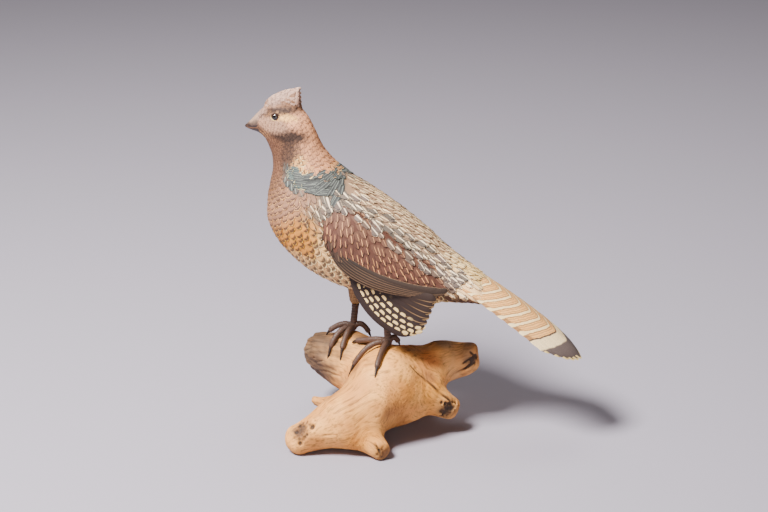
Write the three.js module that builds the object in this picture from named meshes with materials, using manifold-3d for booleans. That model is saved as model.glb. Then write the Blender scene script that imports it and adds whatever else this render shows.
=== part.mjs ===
// A life-size carved and painted ruffed grouse with glass eyes, standing on a piece of driftwood.
// Millimetres, +Z up, the bird looks along -X. The drawing frame has its ground at z = 0 and is
// moved at the end so that the origin is the middle of the bounding box's underside.
import * as THREE from "three";
import { mergeVertices } from "three/addons/utils/BufferGeometryUtils.js";
import { SimplifyModifier } from "three/addons/modifiers/SimplifyModifier.js";
import Module from "manifold-3d";

const wasm = await Module();
wasm.setup();

// Driving dimensions of the bird. Each body station joins a point of the back line to a point of
// the belly line: back x, back z, belly x, belly z, half width, boxiness of the section.
const BODY = [
  [-157, 334.5, -156, 332.5, 0.6, 2],
  [-150, 341, -149, 330.3, 4, 2],
  [-141, 350.5, -139, 327.5, 8.5, 2],
  [-129, 361, -132, 321.5, 13, 2],
  [-114, 367, -127.5, 312, 16.5, 2],
  [-100, 364, -125, 304, 17.5, 2],
  [-88, 353, -124.5, 296, 17.5, 2],
  [-79, 338, -125, 286.5, 19, 2],
  [-69.5, 317, -128, 272, 25, 2.1],
  [-56, 299, -130, 252, 36, 2.2],
  [-36, 283, -128, 231, 46, 2.3],
  [-9, 267, -113, 206, 52, 2.3],
  [18, 249.5, -84, 181, 53, 2.3],
  [44, 231, -46, 163.5, 49, 2.3],
  [67, 212, 4, 155, 43, 2.2],
  [88, 196, 50, 153.5, 38, 2.1],
  [107, 184, 86, 155.5, 35, 2],
  [124, 171, 114, 160, 35, 2],
  [141, 159.5, 136, 154, 33, 2],
  [157, 148.5, 155, 146, 24, 2],
];

// How finely each form is faceted: rings along it and sides around it.
const FACETS = {
  body: [34, 24],
  crest: [10, 8],
  shield: [14, 10],
  feather: [7, 4],
  thigh: [7, 10],
  shin: [7, 8],
  pad: [6, 8],
  toe: [9, 6],
  eye: [8, 12],
};

// The crest is a wedge on the crown that ends in a blunt edge behind: ridge x, ridge z, root x,
// root z, half width at the root.
const CREST = [
  [-137, 355, -134, 350, 4],
  [-130, 366, -127, 354, 8],
  [-119, 373.5, -116, 356, 10],
  [-107, 378, -105, 357, 10],
  [-96, 380, -95, 356, 8],
  [-94.5, 379, -93, 358, 7],
];
const CREST_TAPER = 0.55;

const EYE = { x: -117.5, y: 13.2, z: 350.5, radius: 4.6 };
const TOUCH_GAP = 0.3;

// A wing's shield of coverts: lower edge x, z, y, upper edge x, z, y, then how far it bulges.
const SHIELD = [
  [-62, 252, 40, -58, 262, 37, 1],
  [-57, 235, 50, -40, 266, 40, 5],
  [-45, 214, 56, -16, 256, 43, 8],
  [-27, 195, 58, 9, 240, 42, 9],
  [3, 181, 57, 34, 222, 39, 8],
  [38, 174, 51, 59, 203, 34, 6],
  [66, 174, 44, 77, 188, 29, 4],
  [82, 178, 37, 87, 182, 33, 1],
];
const SHIELD_DEPTH = 13;

// The hanging flight feathers of a wing, from the foremost to the hindmost: x, z, y of the root,
// of the bend and of the tip.
const PRIMARIES = 9;
const PRIMARY_ROOTS = [[-27, 206, 53], [25, 182, 49]];
const PRIMARY_BENDS = [[-9, 134, 54], [45, 170, 49]];
const PRIMARY_TIPS = [[43, 126, 50], [55, 130, 49], [60, 141, 48], [65, 154, 47], [70, 168, 45]];
const PRIMARY_HALF_WIDTH = 7;
const PRIMARY_THICKNESS = 2.2;
const PRIMARY_SPREAD = 1.2;

// The tail is a narrow fan of overlapping feathers, the middle one on top. It leaves the back at
// one slope and ends steeper.
const TAIL = {
  rootX: 92,
  rootZ: 189,
  slope: 31,
  droop: 13,
  halfWidth: 12,
  thickness: 3,
  lengths: [160, 158, 154, 148, 139, 127],
  rootStep: 4.2,
  tipStep: 5.9,
  layer: 1,
  arch: 0.003,
};

// A leg: its knee inside the belly, the end of its feathered part, its foot seen from above, and
// the tip of each toe seen from above with how high the toe arches over the wood.
const LEGS = {
  right: {
    knee: [-40, 21, 182],
    cuff: [-39, 24, 127],
    foot: [-41, 20],
    toes: [[-73, 20, 7], [-64, -9, 4], [-46, -18, 3], [-21, 25, 8]],
  },
  left: {
    knee: [4, -22, 184],
    cuff: [8, -20, 129],
    foot: [10, -22],
    toes: [[-36, -5, 5], [-30, -43, 4], [9, -77, 2], [21, -11, 7]],
  },
};
const LEG = { knee: 14, cuff: 5, shin: 3.9, pad: 4.8, toe: 3.5, claw: 0.9, flatness: 1.15 };
const CLAW_SHARE = 0.2;
const CLAW_CURL = 1.5;

// The driftwood is one piece of root, drawn as limbs that melt together. A limb runs through
// points x, y, z with a radius; one marked as broken ends flat at its last point, and melt is the
// size of the hollow where it leaves the others.
const LIMBS = [
  { points: [[14, -44, 62, 33], [-23, -86, 34, 29], [-68, -105, 15.5, 16]], melt: 22 },
  { points: [[-10, -84, 24, 20], [28, -105, 7, 8]], broken: true, melt: 18 },
  { points: [[14, -44, 60, 33], [18, -8, 54, 28]], melt: 22 },
  { points: [[4, -52, 36, 24], [36, -36, 40, 17]], melt: 22 },
  { points: [[29, -38, 54, 25], [54, -27, 48, 20], [88, -15, 25, 12]], broken: true, melt: 18 },
  { points: [[26, -14, 60, 24], [58, 14, 72, 20], [103, 23, 79, 14]], broken: true, melt: 20 },
  { points: [[40, -10, 54, 20], [82, 16, 69, 10]], melt: 18 },
  { points: [[10, -15, 62, 30], [-43, 14, 66, 29], [-95, 32, 60, 20]], broken: true, melt: 22 },
  { points: [[0, -15, 45, 24], [-52, 12, 47, 17]], melt: 22 },
  { points: [[-30, -46, 28, 14], [-77, -13, 19, 5]], melt: 8 },
  { points: [[0, 5, 46, 26], [-26, 56, 8, 13]], melt: 24 },
  { points: [[26, 0, 46, 24], [48, 50, 7, 11]], melt: 24 },
];
const BROKEN_EDGE = 8;

// The room searched for the wood's surface, the width of a cell in it, the passes that even out the
// surface, and how many corners are kept.
const WOOD_ROOM = { low: [-130, -160, -30], size: [270, 260, 170] };
const WOOD_CELL = 5;
const WOOD_SMOOTHING = 6;
const WOOD_CORNERS = 1000;

// A smooth run through rows of numbers: f(0) is the first row, f(1) the last.
function run(rows) {
  const last = rows.length - 1;
  return (t) => {
    const at = Math.min(Math.max(t, 0), 1) * last;
    const i = Math.min(Math.floor(at), last - 1);
    const f = at - i;
    const [a, b, c, d] = [i - 1, i, i + 1, i + 2].map((k) => rows[Math.min(Math.max(k, 0), last)]);
    return b.map((from, k) => {
      const slopeFrom = (c[k] - a[k]) / 2;
      const slopeTo = (d[k] - from) / 2;
      const rise = c[k] - from;
      const squared = 3 * rise - 2 * slopeFrom - slopeTo;
      const cubed = slopeFrom + slopeTo - 2 * rise;
      return from + f * (slopeFrom + f * (squared + f * cubed));
    });
  };
}

// A closed mesh as a solid for cutting and joining, whichever way its faces were drawn.
function solid(geometry) {
  geometry.deleteAttribute("normal");
  geometry.deleteAttribute("uv");
  const merged = mergeVertices(geometry, 1e-3);
  const position = merged.getAttribute("position");
  const corners = Uint32Array.from(merged.index.array);
  const [a, b, c] = [new THREE.Vector3(), new THREE.Vector3(), new THREE.Vector3()];
  let volume = 0;
  for (let i = 0; i < corners.length; i += 3) {
    a.fromBufferAttribute(position, corners[i]);
    b.fromBufferAttribute(position, corners[i + 1]);
    c.fromBufferAttribute(position, corners[i + 2]);
    volume += a.dot(b.cross(c));
  }
  if (volume < 0) corners.reverse();
  const shape = new wasm.Mesh({ numProp: 3, vertProperties: position.array, triVerts: corners });
  return new wasm.Manifold(shape);
}

// A sphere's grid pulled over a form: place(along, around) gives the point, and each end closes
// in the middle of its ring.
function form(place, [rings, sides]) {
  const geometry = new THREE.SphereGeometry(1, sides, rings);
  const [position, uv] = [geometry.getAttribute("position"), geometry.getAttribute("uv")];
  for (let i = 0; i < position.count; i++) {
    const row = Math.round((1 - uv.getY(i)) * rings) / rings;
    const atEnd = row === 0 || row === 1;
    const point = atEnd ? mix(place(row, 0), place(row, 0.5), 0.5) : place(row, uv.getX(i) % 1);
    position.setXYZ(i, ...point);
  }
  return solid(geometry);
}

const power = (x, p) => Math.sign(x) * Math.abs(x) ** p;
const between = (a, b, t) => a + (b - a) * t;
const mix = (a, b, t) => a.map((x, k) => between(x, b[k], t));
const bendThrough = (a, b, c, t) => mix(mix(a, b, t), mix(b, c, t), t);
const turned = (around) => [Math.cos(2 * Math.PI * around), Math.sin(2 * Math.PI * around)];

// The direction of a line at t, measured a little before and after it.
function heading(line, t) {
  const ahead = new THREE.Vector3(...line(Math.min(t + 0.02, 1)));
  return ahead.sub(new THREE.Vector3(...line(Math.max(t - 0.02, 0)))).normalize();
}

// A pointed spindle about a line, such as a toe: centre(t) is a point and radius(t) a number.
function spindle(centre, radius, facets) {
  return form((t, around) => {
    const [c, s] = turned(around);
    const along = heading(centre, t);
    const across = new THREE.Vector3(-along.y, along.x, 1e-6).normalize();
    const upright = new THREE.Vector3().crossVectors(along, across);
    const r = radius(t);
    return centre(t).map((x, k) => x + r * (c * across.getComponent(k) + s * upright.getComponent(k)));
  }, facets);
}

// A thin flat feather: its spine(t), the direction across it, and its half width(t). Its rings
// stand closer together towards both ends.
function blade(spine, across, halfWidth, thickness) {
  return form((share, around) => {
    const t = 0.5 - 0.5 * Math.cos(Math.PI * share);
    const [c, s] = turned(around);
    const width = new THREE.Vector3(...across(t)).normalize();
    const face = new THREE.Vector3().crossVectors(heading(spine, t), width).normalize();
    const w = c * halfWidth(t);
    const h = (s * thickness * Math.min(1, 6 * t, 12 * (1 - t))) / 2;
    return spine(t).map((x, k) => x + w * width.getComponent(k) + h * face.getComponent(k));
  }, FACETS.feather);
}

function body() {
  const station = run(BODY);
  return form((t, around) => {
    const [backX, backZ, bellyX, bellyZ, width, boxy] = station(t);
    const [c, s] = turned(around).map((x) => power(x, 2 / boxy));
    const up = 0.5 + 0.5 * c;
    return [between(bellyX, backX, up), s * width, between(bellyZ, backZ, up)];
  }, FACETS.body);
}

function crest() {
  const station = run(CREST);
  return form((t, around) => {
    const end = Math.min(1, 8 * t, 14 * (1 - t));
    const [ridgeX, ridgeZ, rootX, rootZ, width] = station(t);
    const [c, s] = turned(around);
    const rise = 0.5 + 0.5 * c * end;
    const y = s * end * width * (1 - CREST_TAPER * rise);
    return [between(rootX, ridgeX, rise), y, between(rootZ, ridgeZ, rise)];
  }, FACETS.crest);
}

function shield(side) {
  const station = run(SHIELD);
  return form((t, around) => {
    const [lowX, lowZ, lowY, highX, highZ, highY, bulge] = station(t);
    const [c, s] = turned(around);
    const up = 0.5 + 0.5 * c;
    const out = s > 0 ? bulge * s : SHIELD_DEPTH * s * Math.min(1, 5 * t, 5 * (1 - t));
    return [between(lowX, highX, up), side * (between(lowY, highY, up) + out), between(lowZ, highZ, up)];
  }, FACETS.shield);
}

// One hanging flight feather of the wing on that side, k from 0 at the front to 1 at the back.
function primary(side, k) {
  const [root, bend, tip] = [PRIMARY_ROOTS, PRIMARY_BENDS, PRIMARY_TIPS].map((row) => run(row)(k));
  const spine = (t) => {
    const [x, z, y] = bendThrough(root, bend, tip, t);
    return [x, side * (y - PRIMARY_SPREAD * k), z];
  };
  const across = (t) => {
    const along = heading(spine, t);
    return [-along.z, 0, along.x];
  };
  const halfWidth = (t) => PRIMARY_HALF_WIDTH * Math.min(1, Math.sqrt(9 * (1 - t)), Math.sqrt(4 * t));
  return blade(spine, across, halfWidth, PRIMARY_THICKNESS);
}

// The place on the tail's middle line at a distance from its root: x, z and the slope there.
function tailLine(distance) {
  const steps = 12;
  let [x, z, slope] = [TAIL.rootX, TAIL.rootZ, TAIL.slope];
  for (let i = 0; i < steps; i++) {
    const share = ((i + 0.5) / steps) * (distance / TAIL.lengths[0]);
    slope = TAIL.slope + TAIL.droop * share * share;
    x += (distance / steps) * Math.cos(THREE.MathUtils.degToRad(slope));
    z -= (distance / steps) * Math.sin(THREE.MathUtils.degToRad(slope));
  }
  return [x, z, THREE.MathUtils.degToRad(slope)];
}

// One tail feather, counted from the middle: 0 is the middle one and the sign is its side.
function tailFeather(number) {
  const count = Math.abs(number);
  const length = TAIL.lengths[count];
  const spine = (t) => {
    const y = number * between(TAIL.rootStep, TAIL.tipStep, Math.sqrt(t));
    const [x, z, slope] = tailLine(t * length);
    const drop = TAIL.layer * count + TAIL.arch * y * y;
    return [x - drop * Math.sin(slope), y, z - drop * Math.cos(slope)];
  };
  const across = (t) => [0, 1, -2 * TAIL.arch * spine(t)[1]];
  const halfWidth = (t) => TAIL.halfWidth * Math.min(0.85 + 0.5 * t, 1, Math.sqrt(9 * (1 - t)));
  return blade(spine, across, halfWidth, TAIL.thickness);
}

// An upright stem from one point to another with flat ends; radius(t) gives its girth.
function stem(from, to, radius, [rings, sides]) {
  return form(
    (t, around) => {
      const [c, s] = turned(around);
      const share = Math.min(Math.max((t * rings - 1) / (rings - 2), 0), 1);
      const r = t > 0 && t < 1 ? radius(share) : 0;
      const [x, y, z] = mix(from, to, share);
      return [x + LEG.flatness * c * r, y + s * r, z];
    },
    [rings, sides],
  );
}

// The feathered upper part of a leg, down to a flat cuff that the bare shin meets.
function thigh({ knee, cuff }) {
  return stem(knee, cuff, (t) => between(LEG.knee, LEG.cuff, Math.sqrt(t)), FACETS.thigh);
}

function eyeBall(side, grown = 0) {
  const [rings, sides] = FACETS.eye;
  const ball = new THREE.SphereGeometry(EYE.radius + grown, sides, rings);
  return solid(ball.translate(EYE.x, side * EYE.y, EYE.z));
}

function bird() {
  const pieces = [crest()];
  for (const side of [-1, 1]) {
    pieces.push(shield(side));
    for (let i = 0; i < PRIMARIES; i++) pieces.push(primary(side, i / (PRIMARIES - 1)));
  }
  for (let i = 1 - TAIL.lengths.length; i < TAIL.lengths.length; i++) pieces.push(tailFeather(i));
  for (const leg of Object.values(LEGS)) pieces.push(thigh(leg));
  const joined = pieces.reduce((whole, piece) => whole.add(piece), body());
  const outside = wasm.Manifold.compose(joined.decompose().filter((shell) => shell.volume() > 0));
  return outside.subtract(eyeBall(-1, TOUCH_GAP)).subtract(eyeBall(1, TOUCH_GAP));
}

// The lesser of two distances with a rounded passage between them, or the greater if turned round.
function meet(a, b, rounding) {
  const near = Math.max(1 - Math.abs(a - b) / rounding, 0);
  return Math.min(a, b) - (near * near * rounding) / 4;
}

// How far a point is outside a limb.
function limbField({ points, broken }, x, y, z) {
  let nearest = Infinity;
  for (let i = 1; i < points.length; i++) {
    const [[ax, ay, az, ar], [bx, by, bz, br]] = [points[i - 1], points[i]];
    const [ux, uy, uz] = [bx - ax, by - ay, bz - az];
    const length = Math.hypot(ux, uy, uz);
    const share = ((x - ax) * ux + (y - ay) * uy + (z - az) * uz) / (length * length);
    const flatEnd = broken && i === points.length - 1;
    const t = Math.min(Math.max(share, 0), flatEnd ? Infinity : 1);
    const away = Math.hypot(x - ax - t * ux, y - ay - t * uy, z - az - t * uz);
    const side = away - ar - Math.min(t, 1) * (br - ar);
    nearest = Math.min(nearest, flatEnd ? -meet(-side, (1 - share) * length, BROKEN_EDGE) : side);
  }
  return nearest;
}

// The driftwood as a field, below zero inside it, with the slow waves of weathered wood.
function woodField(x, y, z) {
  const join = (sofar, limb) => meet(sofar, limbField(limb, x, y, z), limb.melt);
  const swell = 1.2 * Math.sin(x / 13 + z / 19) * Math.sin(y / 15 - z / 11);
  return LIMBS.reduce(join, Infinity) + swell + 0.6 * Math.sin((x + y) / 9);
}

// The direction out of the wood, as long as the field is steep.
function woodSlope(x, y, z) {
  const h = 0.05;
  return new THREE.Vector3(
    woodField(x + h, y, z) - woodField(x - h, y, z),
    woodField(x, y + h, z) - woodField(x, y - h, z),
    woodField(x, y, z + h) - woodField(x, y, z - h),
  ).divideScalar(2 * h);
}

// A closed mesh of the field's surface: one corner in each cell that the surface crosses, and one
// square across each crossed edge of the grid.
function woodMesh(cell) {
  const low = WOOD_ROOM.low;
  const [nx, ny, nz] = WOOD_ROOM.size.map((length) => Math.ceil(length / cell));
  const index = (i, j, k) => i + (nx + 1) * (j + (ny + 1) * k);
  const value = new Float64Array((nx + 1) * (ny + 1) * (nz + 1));
  const at = (...steps) => steps.map((n, axis) => low[axis] + n * cell);
  for (let k = 0; k <= nz; k++)
    for (let j = 0; j <= ny; j++)
      for (let i = 0; i <= nx; i++) value[index(i, j, k)] = woodField(...at(i, j, k));
  const places = [];
  const corner = new Map();
  const steps = [[1, 0, 0], [0, 1, 0], [0, 0, 1]];
  const edgesOfCell = [];
  for (let axis = 0; axis < 3; axis++)
    for (const a of [0, 1])
      for (const b of [0, 1]) {
        const start = [0, 0, 0];
        start[(axis + 1) % 3] = a;
        start[(axis + 2) % 3] = b;
        edgesOfCell.push([start, steps[axis]]);
      }
  const cornerOf = (i, j, k) => {
    const key = index(i, j, k);
    if (corner.has(key)) return corner.get(key);
    const sum = [0, 0, 0];
    let crossed = 0;
    for (const [[a, b, c], [da, db, dc]] of edgesOfCell) {
      const from = value[index(i + a, j + b, k + c)];
      const to = value[index(i + a + da, j + b + db, k + c + dc)];
      if (from < 0 === to < 0) continue;
      const t = from / (from - to);
      sum[0] += a + t * da;
      sum[1] += b + t * db;
      sum[2] += c + t * dc;
      crossed++;
    }
    places.push(...[i, j, k].map((n, axis) => low[axis] + cell * (n + sum[axis] / crossed)));
    corner.set(key, places.length / 3 - 1);
    return places.length / 3 - 1;
  };
  const faces = [];
  for (let k = 1; k < nz; k++)
    for (let j = 1; j < ny; j++)
      for (let i = 1; i < nx; i++)
        steps.forEach(([da, db, dc], axis) => {
          const from = value[index(i, j, k)] < 0;
          if (from === value[index(i + da, j + db, k + dc)] < 0) return;
          const [u, v] = [steps[(axis + 1) % 3], steps[(axis + 2) % 3]];
          const ring = [[0, 0], [1, 0], [1, 1], [0, 1]].map(([m, n]) =>
            cornerOf(i - m * u[0] - n * v[0], j - m * u[1] - n * v[1], k - m * u[2] - n * v[2]),
          );
          if (!from) ring.reverse();
          faces.push(ring[0], ring[1], ring[2], ring[0], ring[2], ring[3]);
        });
  return { places, faces };
}

// Evens out the corners of the wood's mesh and sets them back on the field's surface.
function evened({ places, faces }) {
  let corners = [];
  for (let i = 0; i < places.length; i += 3) corners.push(new THREE.Vector3().fromArray(places, i));
  for (let pass = 0; pass < WOOD_SMOOTHING; pass++) {
    const sums = corners.map(() => new THREE.Vector3());
    const counts = corners.map(() => 0);
    for (let i = 0; i < faces.length; i += 3)
      for (const [a, b] of [[0, 1], [1, 2], [2, 0]]) {
        sums[faces[i + a]].add(corners[faces[i + b]]);
        counts[faces[i + a]]++;
        sums[faces[i + b]].add(corners[faces[i + a]]);
        counts[faces[i + b]]++;
      }
    corners = corners.map((corner, i) => {
      const moved = corner.clone().lerp(sums[i].divideScalar(counts[i]), 0.5);
      for (let step = 0; step < 2; step++) {
        const slope = woodSlope(...moved);
        moved.addScaledVector(slope, -woodField(...moved) / Math.max(slope.lengthSq(), 0.25));
      }
      return moved;
    });
  }
  return { places: corners.flatMap((corner) => corner.toArray()), faces };
}

// The height of the wood's top above a place on the ground.
function woodTop(x, y) {
  let z = WOOD_ROOM.low[2] + WOOD_ROOM.size[2];
  while (z > 0 && woodField(x, y, z) > 0.05) z -= Math.max(0.1, 0.4 * woodField(x, y, z));
  return z;
}

function groundSlab() {
  return solid(new THREE.BoxGeometry(600, 600, 100).translate(0, 0, -50));
}

// The same surface with fewer corners.
async function thinned({ places, faces }) {
  const geometry = new THREE.BufferGeometry();
  geometry.setAttribute("position", new THREE.Float32BufferAttribute(places, 3));
  geometry.setIndex(faces);
  const fewer = await new SimplifyModifier().modify(geometry, places.length / 3 - WOOD_CORNERS);
  const position = fewer.getAttribute("position");
  return { places: Array.from(position.array), faces: Array.from(fewer.index.array) };
}

// The driftwood, or its form grown by a little for cutting the feet to its surface.
function driftwood({ places, faces }, grown = 0) {
  const geometry = new THREE.BufferGeometry();
  geometry.setAttribute("position", new THREE.Float32BufferAttribute(places, 3));
  geometry.setIndex(faces);
  geometry.computeVertexNormals();
  const [position, normal] = [geometry.getAttribute("position"), geometry.getAttribute("normal")];
  for (let i = 0; i < position.array.length; i++) position.array[i] += grown * normal.array[i];
  return solid(geometry).subtract(groundSlab());
}

// A toe that follows the wood from the foot to the tip of its claw.
function toe(foot, [tipX, tipY, arch]) {
  const claw = (t) => Math.max(0, t - 1 + CLAW_SHARE) / CLAW_SHARE;
  const centre = (t) => {
    const [x, y] = mix(foot, [tipX, tipY], t);
    const lift = LEG.toe * (1 - 0.5 * t) + 4 * arch * Math.max(t, 0.15) * (1 - t);
    return [x, y, woodTop(x, y) + lift - CLAW_CURL * claw(t) ** 2];
  };
  const radius = (t) => {
    const bent = claw(t);
    return bent > 0 ? between(0.75 * LEG.toe, LEG.claw, bent) : LEG.toe * (1 - 0.3 * t);
  };
  return spindle(centre, radius, FACETS.toe);
}

function leg({ cuff, foot, toes }, wood) {
  const ankle = [...foot, woodTop(...foot) + LEG.pad];
  const top = [cuff[0], cuff[1], cuff[2] - TOUCH_GAP];
  const girth = (t) => LEG.shin * (1 + 0.3 * Math.max(0, 1 - 5 * t) + 0.15 * Math.max(0, 5 * t - 4));
  const shin = stem(ankle, top, girth, FACETS.shin);
  const [rings, sides] = FACETS.pad;
  const pad = solid(new THREE.SphereGeometry(LEG.pad, sides, rings).translate(...ankle));
  return toes.reduce((whole, tip) => whole.add(toe(foot, tip)), shin.add(pad)).subtract(wood);
}

// A named mesh of the finished part.
function mesh(name, shape, colour, roughness) {
  const { vertProperties, triVerts } = shape.getMesh();
  const geometry = new THREE.BufferGeometry();
  geometry.setAttribute("position", new THREE.BufferAttribute(Float32Array.from(vertProperties), 3));
  geometry.setIndex(new THREE.BufferAttribute(Uint32Array.from(triVerts), 1));
  geometry.computeVertexNormals();
  const material = new THREE.MeshStandardMaterial({ color: colour, roughness, metalness: 0 });
  const node = new THREE.Mesh(geometry, material);
  node.name = name;
  return node;
}

const grouse = new THREE.Group();
grouse.add(mesh("grouse_carving", bird(), 0xb98a66, 0.7));
grouse.add(mesh("left_eye", eyeBall(-1), 0x1a0f0a, 0.08));
grouse.add(mesh("right_eye", eyeBall(1), 0x1a0f0a, 0.08));
const wood = await thinned(evened(woodMesh(WOOD_CELL)));
const clearOfWood = driftwood(wood, 1.3 * TOUCH_GAP);
grouse.add(mesh("left_leg", leg(LEGS.left, clearOfWood), 0x5b4138, 0.55));
grouse.add(mesh("right_leg", leg(LEGS.right, clearOfWood), 0x5b4138, 0.55));
grouse.add(mesh("driftwood", driftwood(wood), 0xc79b6d, 0.75));

// Puts the origin at the middle of the underside.
const box = new THREE.Box3().setFromObject(grouse);
const middle = box.getCenter(new THREE.Vector3());
grouse.position.set(-middle.x, -middle.y, -box.min.z);

export default grouse;
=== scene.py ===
"""The looks of a life-size carved and painted ruffed grouse on driftwood.

Sizes are millimetres in the drawing frame of the solids: the bird looks along -X, its right side is
+Y, and the ground is z = 0. They are moved into the part's own frame when a mesh is made.
"""
import math

import bpy
import numpy as np
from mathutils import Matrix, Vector
from mathutils.bvhtree import BVHTree


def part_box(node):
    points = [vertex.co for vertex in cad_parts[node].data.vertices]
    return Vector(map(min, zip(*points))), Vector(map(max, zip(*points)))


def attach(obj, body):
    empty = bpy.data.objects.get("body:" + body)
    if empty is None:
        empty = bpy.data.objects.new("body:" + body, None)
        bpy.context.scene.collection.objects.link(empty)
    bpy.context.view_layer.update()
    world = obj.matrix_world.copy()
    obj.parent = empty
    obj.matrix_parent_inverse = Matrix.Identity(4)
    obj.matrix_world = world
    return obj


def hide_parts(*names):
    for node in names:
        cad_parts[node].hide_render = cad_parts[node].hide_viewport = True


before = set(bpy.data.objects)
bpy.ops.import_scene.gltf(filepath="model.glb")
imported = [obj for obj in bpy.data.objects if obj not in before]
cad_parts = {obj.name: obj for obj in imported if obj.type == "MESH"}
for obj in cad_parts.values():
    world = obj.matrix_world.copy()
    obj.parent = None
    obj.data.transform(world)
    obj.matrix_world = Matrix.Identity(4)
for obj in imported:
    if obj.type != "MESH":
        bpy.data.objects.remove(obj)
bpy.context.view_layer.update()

MM = 0.001
RANDOM = np.random.default_rng(7)

# The bird's own sizes, as in the solids. Body stations: back x, z, belly x, z, half width, boxiness.
BODY = [
    [-157, 334.5, -156, 332.5, 0.6, 2],
    [-150, 341, -149, 330.3, 4, 2],
    [-141, 350.5, -139, 327.5, 8.5, 2],
    [-129, 361, -132, 321.5, 13, 2],
    [-114, 367, -127.5, 312, 16.5, 2],
    [-100, 364, -125, 304, 17.5, 2],
    [-88, 353, -124.5, 296, 17.5, 2],
    [-79, 338, -125, 286.5, 19, 2],
    [-69.5, 317, -128, 272, 25, 2.1],
    [-56, 299, -130, 252, 36, 2.2],
    [-36, 283, -128, 231, 46, 2.3],
    [-9, 267, -113, 206, 52, 2.3],
    [18, 249.5, -84, 181, 53, 2.3],
    [44, 231, -46, 163.5, 49, 2.3],
    [67, 212, 4, 155, 43, 2.2],
    [88, 196, 50, 153.5, 38, 2.1],
    [107, 182.5, 86, 155.5, 35, 2],
    [124, 167.3, 114, 158.8, 32, 2],
    [141, 155, 136, 151, 23, 2],
    [157, 145, 155, 143, 12, 2],
]
# The crest's ridge x, z, root x, z and half width.
CREST = [
    [-137, 355, -134, 350, 4],
    [-130, 366, -127, 354, 8],
    [-119, 373.5, -116, 356, 10],
    [-107, 378, -105, 357, 10],
    [-96, 380, -95, 356, 8],
    [-94.5, 379, -93, 358, 7],
]
CREST_TAPER = 0.55
EYE = {"x": -117.5, "y": 13.2, "z": 350.5, "radius": 4.6}
# The wing's shield: lower edge x, z, y, upper edge x, z, y, bulge.
SHIELD = [
    [-62, 252, 40, -58, 262, 37, 1],
    [-57, 235, 50, -40, 266, 40, 5],
    [-45, 214, 56, -16, 256, 43, 8],
    [-27, 195, 58, 9, 240, 42, 9],
    [3, 181, 57, 34, 222, 39, 8],
    [38, 174, 51, 59, 203, 34, 6],
    [66, 174, 44, 77, 188, 29, 4],
    [82, 178, 37, 87, 182, 33, 1],
]
SHIELD_DEPTH = 13
# The hanging flight feathers, foremost to hindmost: x, z, y of the root, the bend and the tip.
PRIMARIES = 9
PRIMARY_ROOTS = [[-27, 206, 53], [25, 182, 49]]
PRIMARY_BENDS = [[-9, 134, 54], [45, 170, 49]]
PRIMARY_TIPS = [[43, 126, 50], [55, 130, 49], [60, 141, 48], [65, 154, 47], [70, 168, 45]]
PRIMARY_HALF_WIDTH = 7
PRIMARY_THICKNESS = 2.2
PRIMARY_LAYERS = (-3.5, 2.5)
# The long feathers along the wing's lower edge.
SECONDARIES = 6
TAIL = {
    "root_x": 92, "root_z": 189, "slope": 31, "droop": 13, "half_width": 12, "thickness": 3,
    "lengths": [160, 158, 154, 148, 139, 127], "root_step": 4.2, "tip_step": 5.9, "layer": 1,
    "arch": 0.003,
}
# A leg: knee, cuff, foot seen from above, and each toe's tip with the height of its arch.
LEGS = {
    "right_leg": {
        "knee": [-40, 21, 182], "cuff": [-39, 24, 127], "foot": [-41, 20],
        "toes": [[-73, 20, 7], [-64, -9, 4], [-46, -18, 3], [-21, 25, 8]],
    },
    "left_leg": {
        "knee": [4, -22, 184], "cuff": [8, -20, 129], "foot": [10, -22],
        "toes": [[-36, -5, 5], [-30, -43, 4], [9, -77, 2], [21, -11, 7]],
    },
}
LEG = {"knee": 14, "cuff": 5, "shin": 3.9, "pad": 4.8, "toe": 3.5, "claw": 0.9, "flatness": 1.15}
CLAW_SHARE = 0.2
CLAW_CURL = 1.5
# The driftwood's limbs: points x, y, z, radius; whether the end is broken off flat; the melt.
LIMBS = [
    ([[14, -44, 62, 33], [-23, -86, 34, 29], [-68, -105, 15.5, 16]], False, 22),
    ([[-10, -84, 24, 20], [28, -105, 7, 8]], True, 18),
    ([[14, -44, 60, 33], [18, -8, 54, 28]], False, 22),
    ([[4, -52, 36, 24], [36, -36, 40, 17]], False, 22),
    ([[29, -38, 54, 25], [54, -27, 48, 20], [88, -15, 25, 12]], True, 18),
    ([[26, -14, 60, 24], [58, 14, 72, 20], [103, 23, 79, 14]], True, 20),
    ([[40, -10, 54, 20], [82, 16, 69, 10]], False, 18),
    ([[10, -15, 62, 30], [-43, 14, 66, 29], [-95, 32, 60, 20]], True, 22),
    ([[0, -15, 45, 24], [-52, 12, 47, 17]], False, 22),
    ([[-30, -46, 28, 14], [-77, -13, 19, 5]], False, 8),
    ([[0, 5, 46, 26], [-26, 56, 8, 13]], False, 24),
    ([[26, 0, 46, 24], [48, 50, 7, 11]], False, 24),
]
BROKEN_EDGE = 8
WOOD_ROOM = {"low": [-130, -160, -30], "size": [270, 260, 170]}
WOOD_CELL = 1.25
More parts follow.
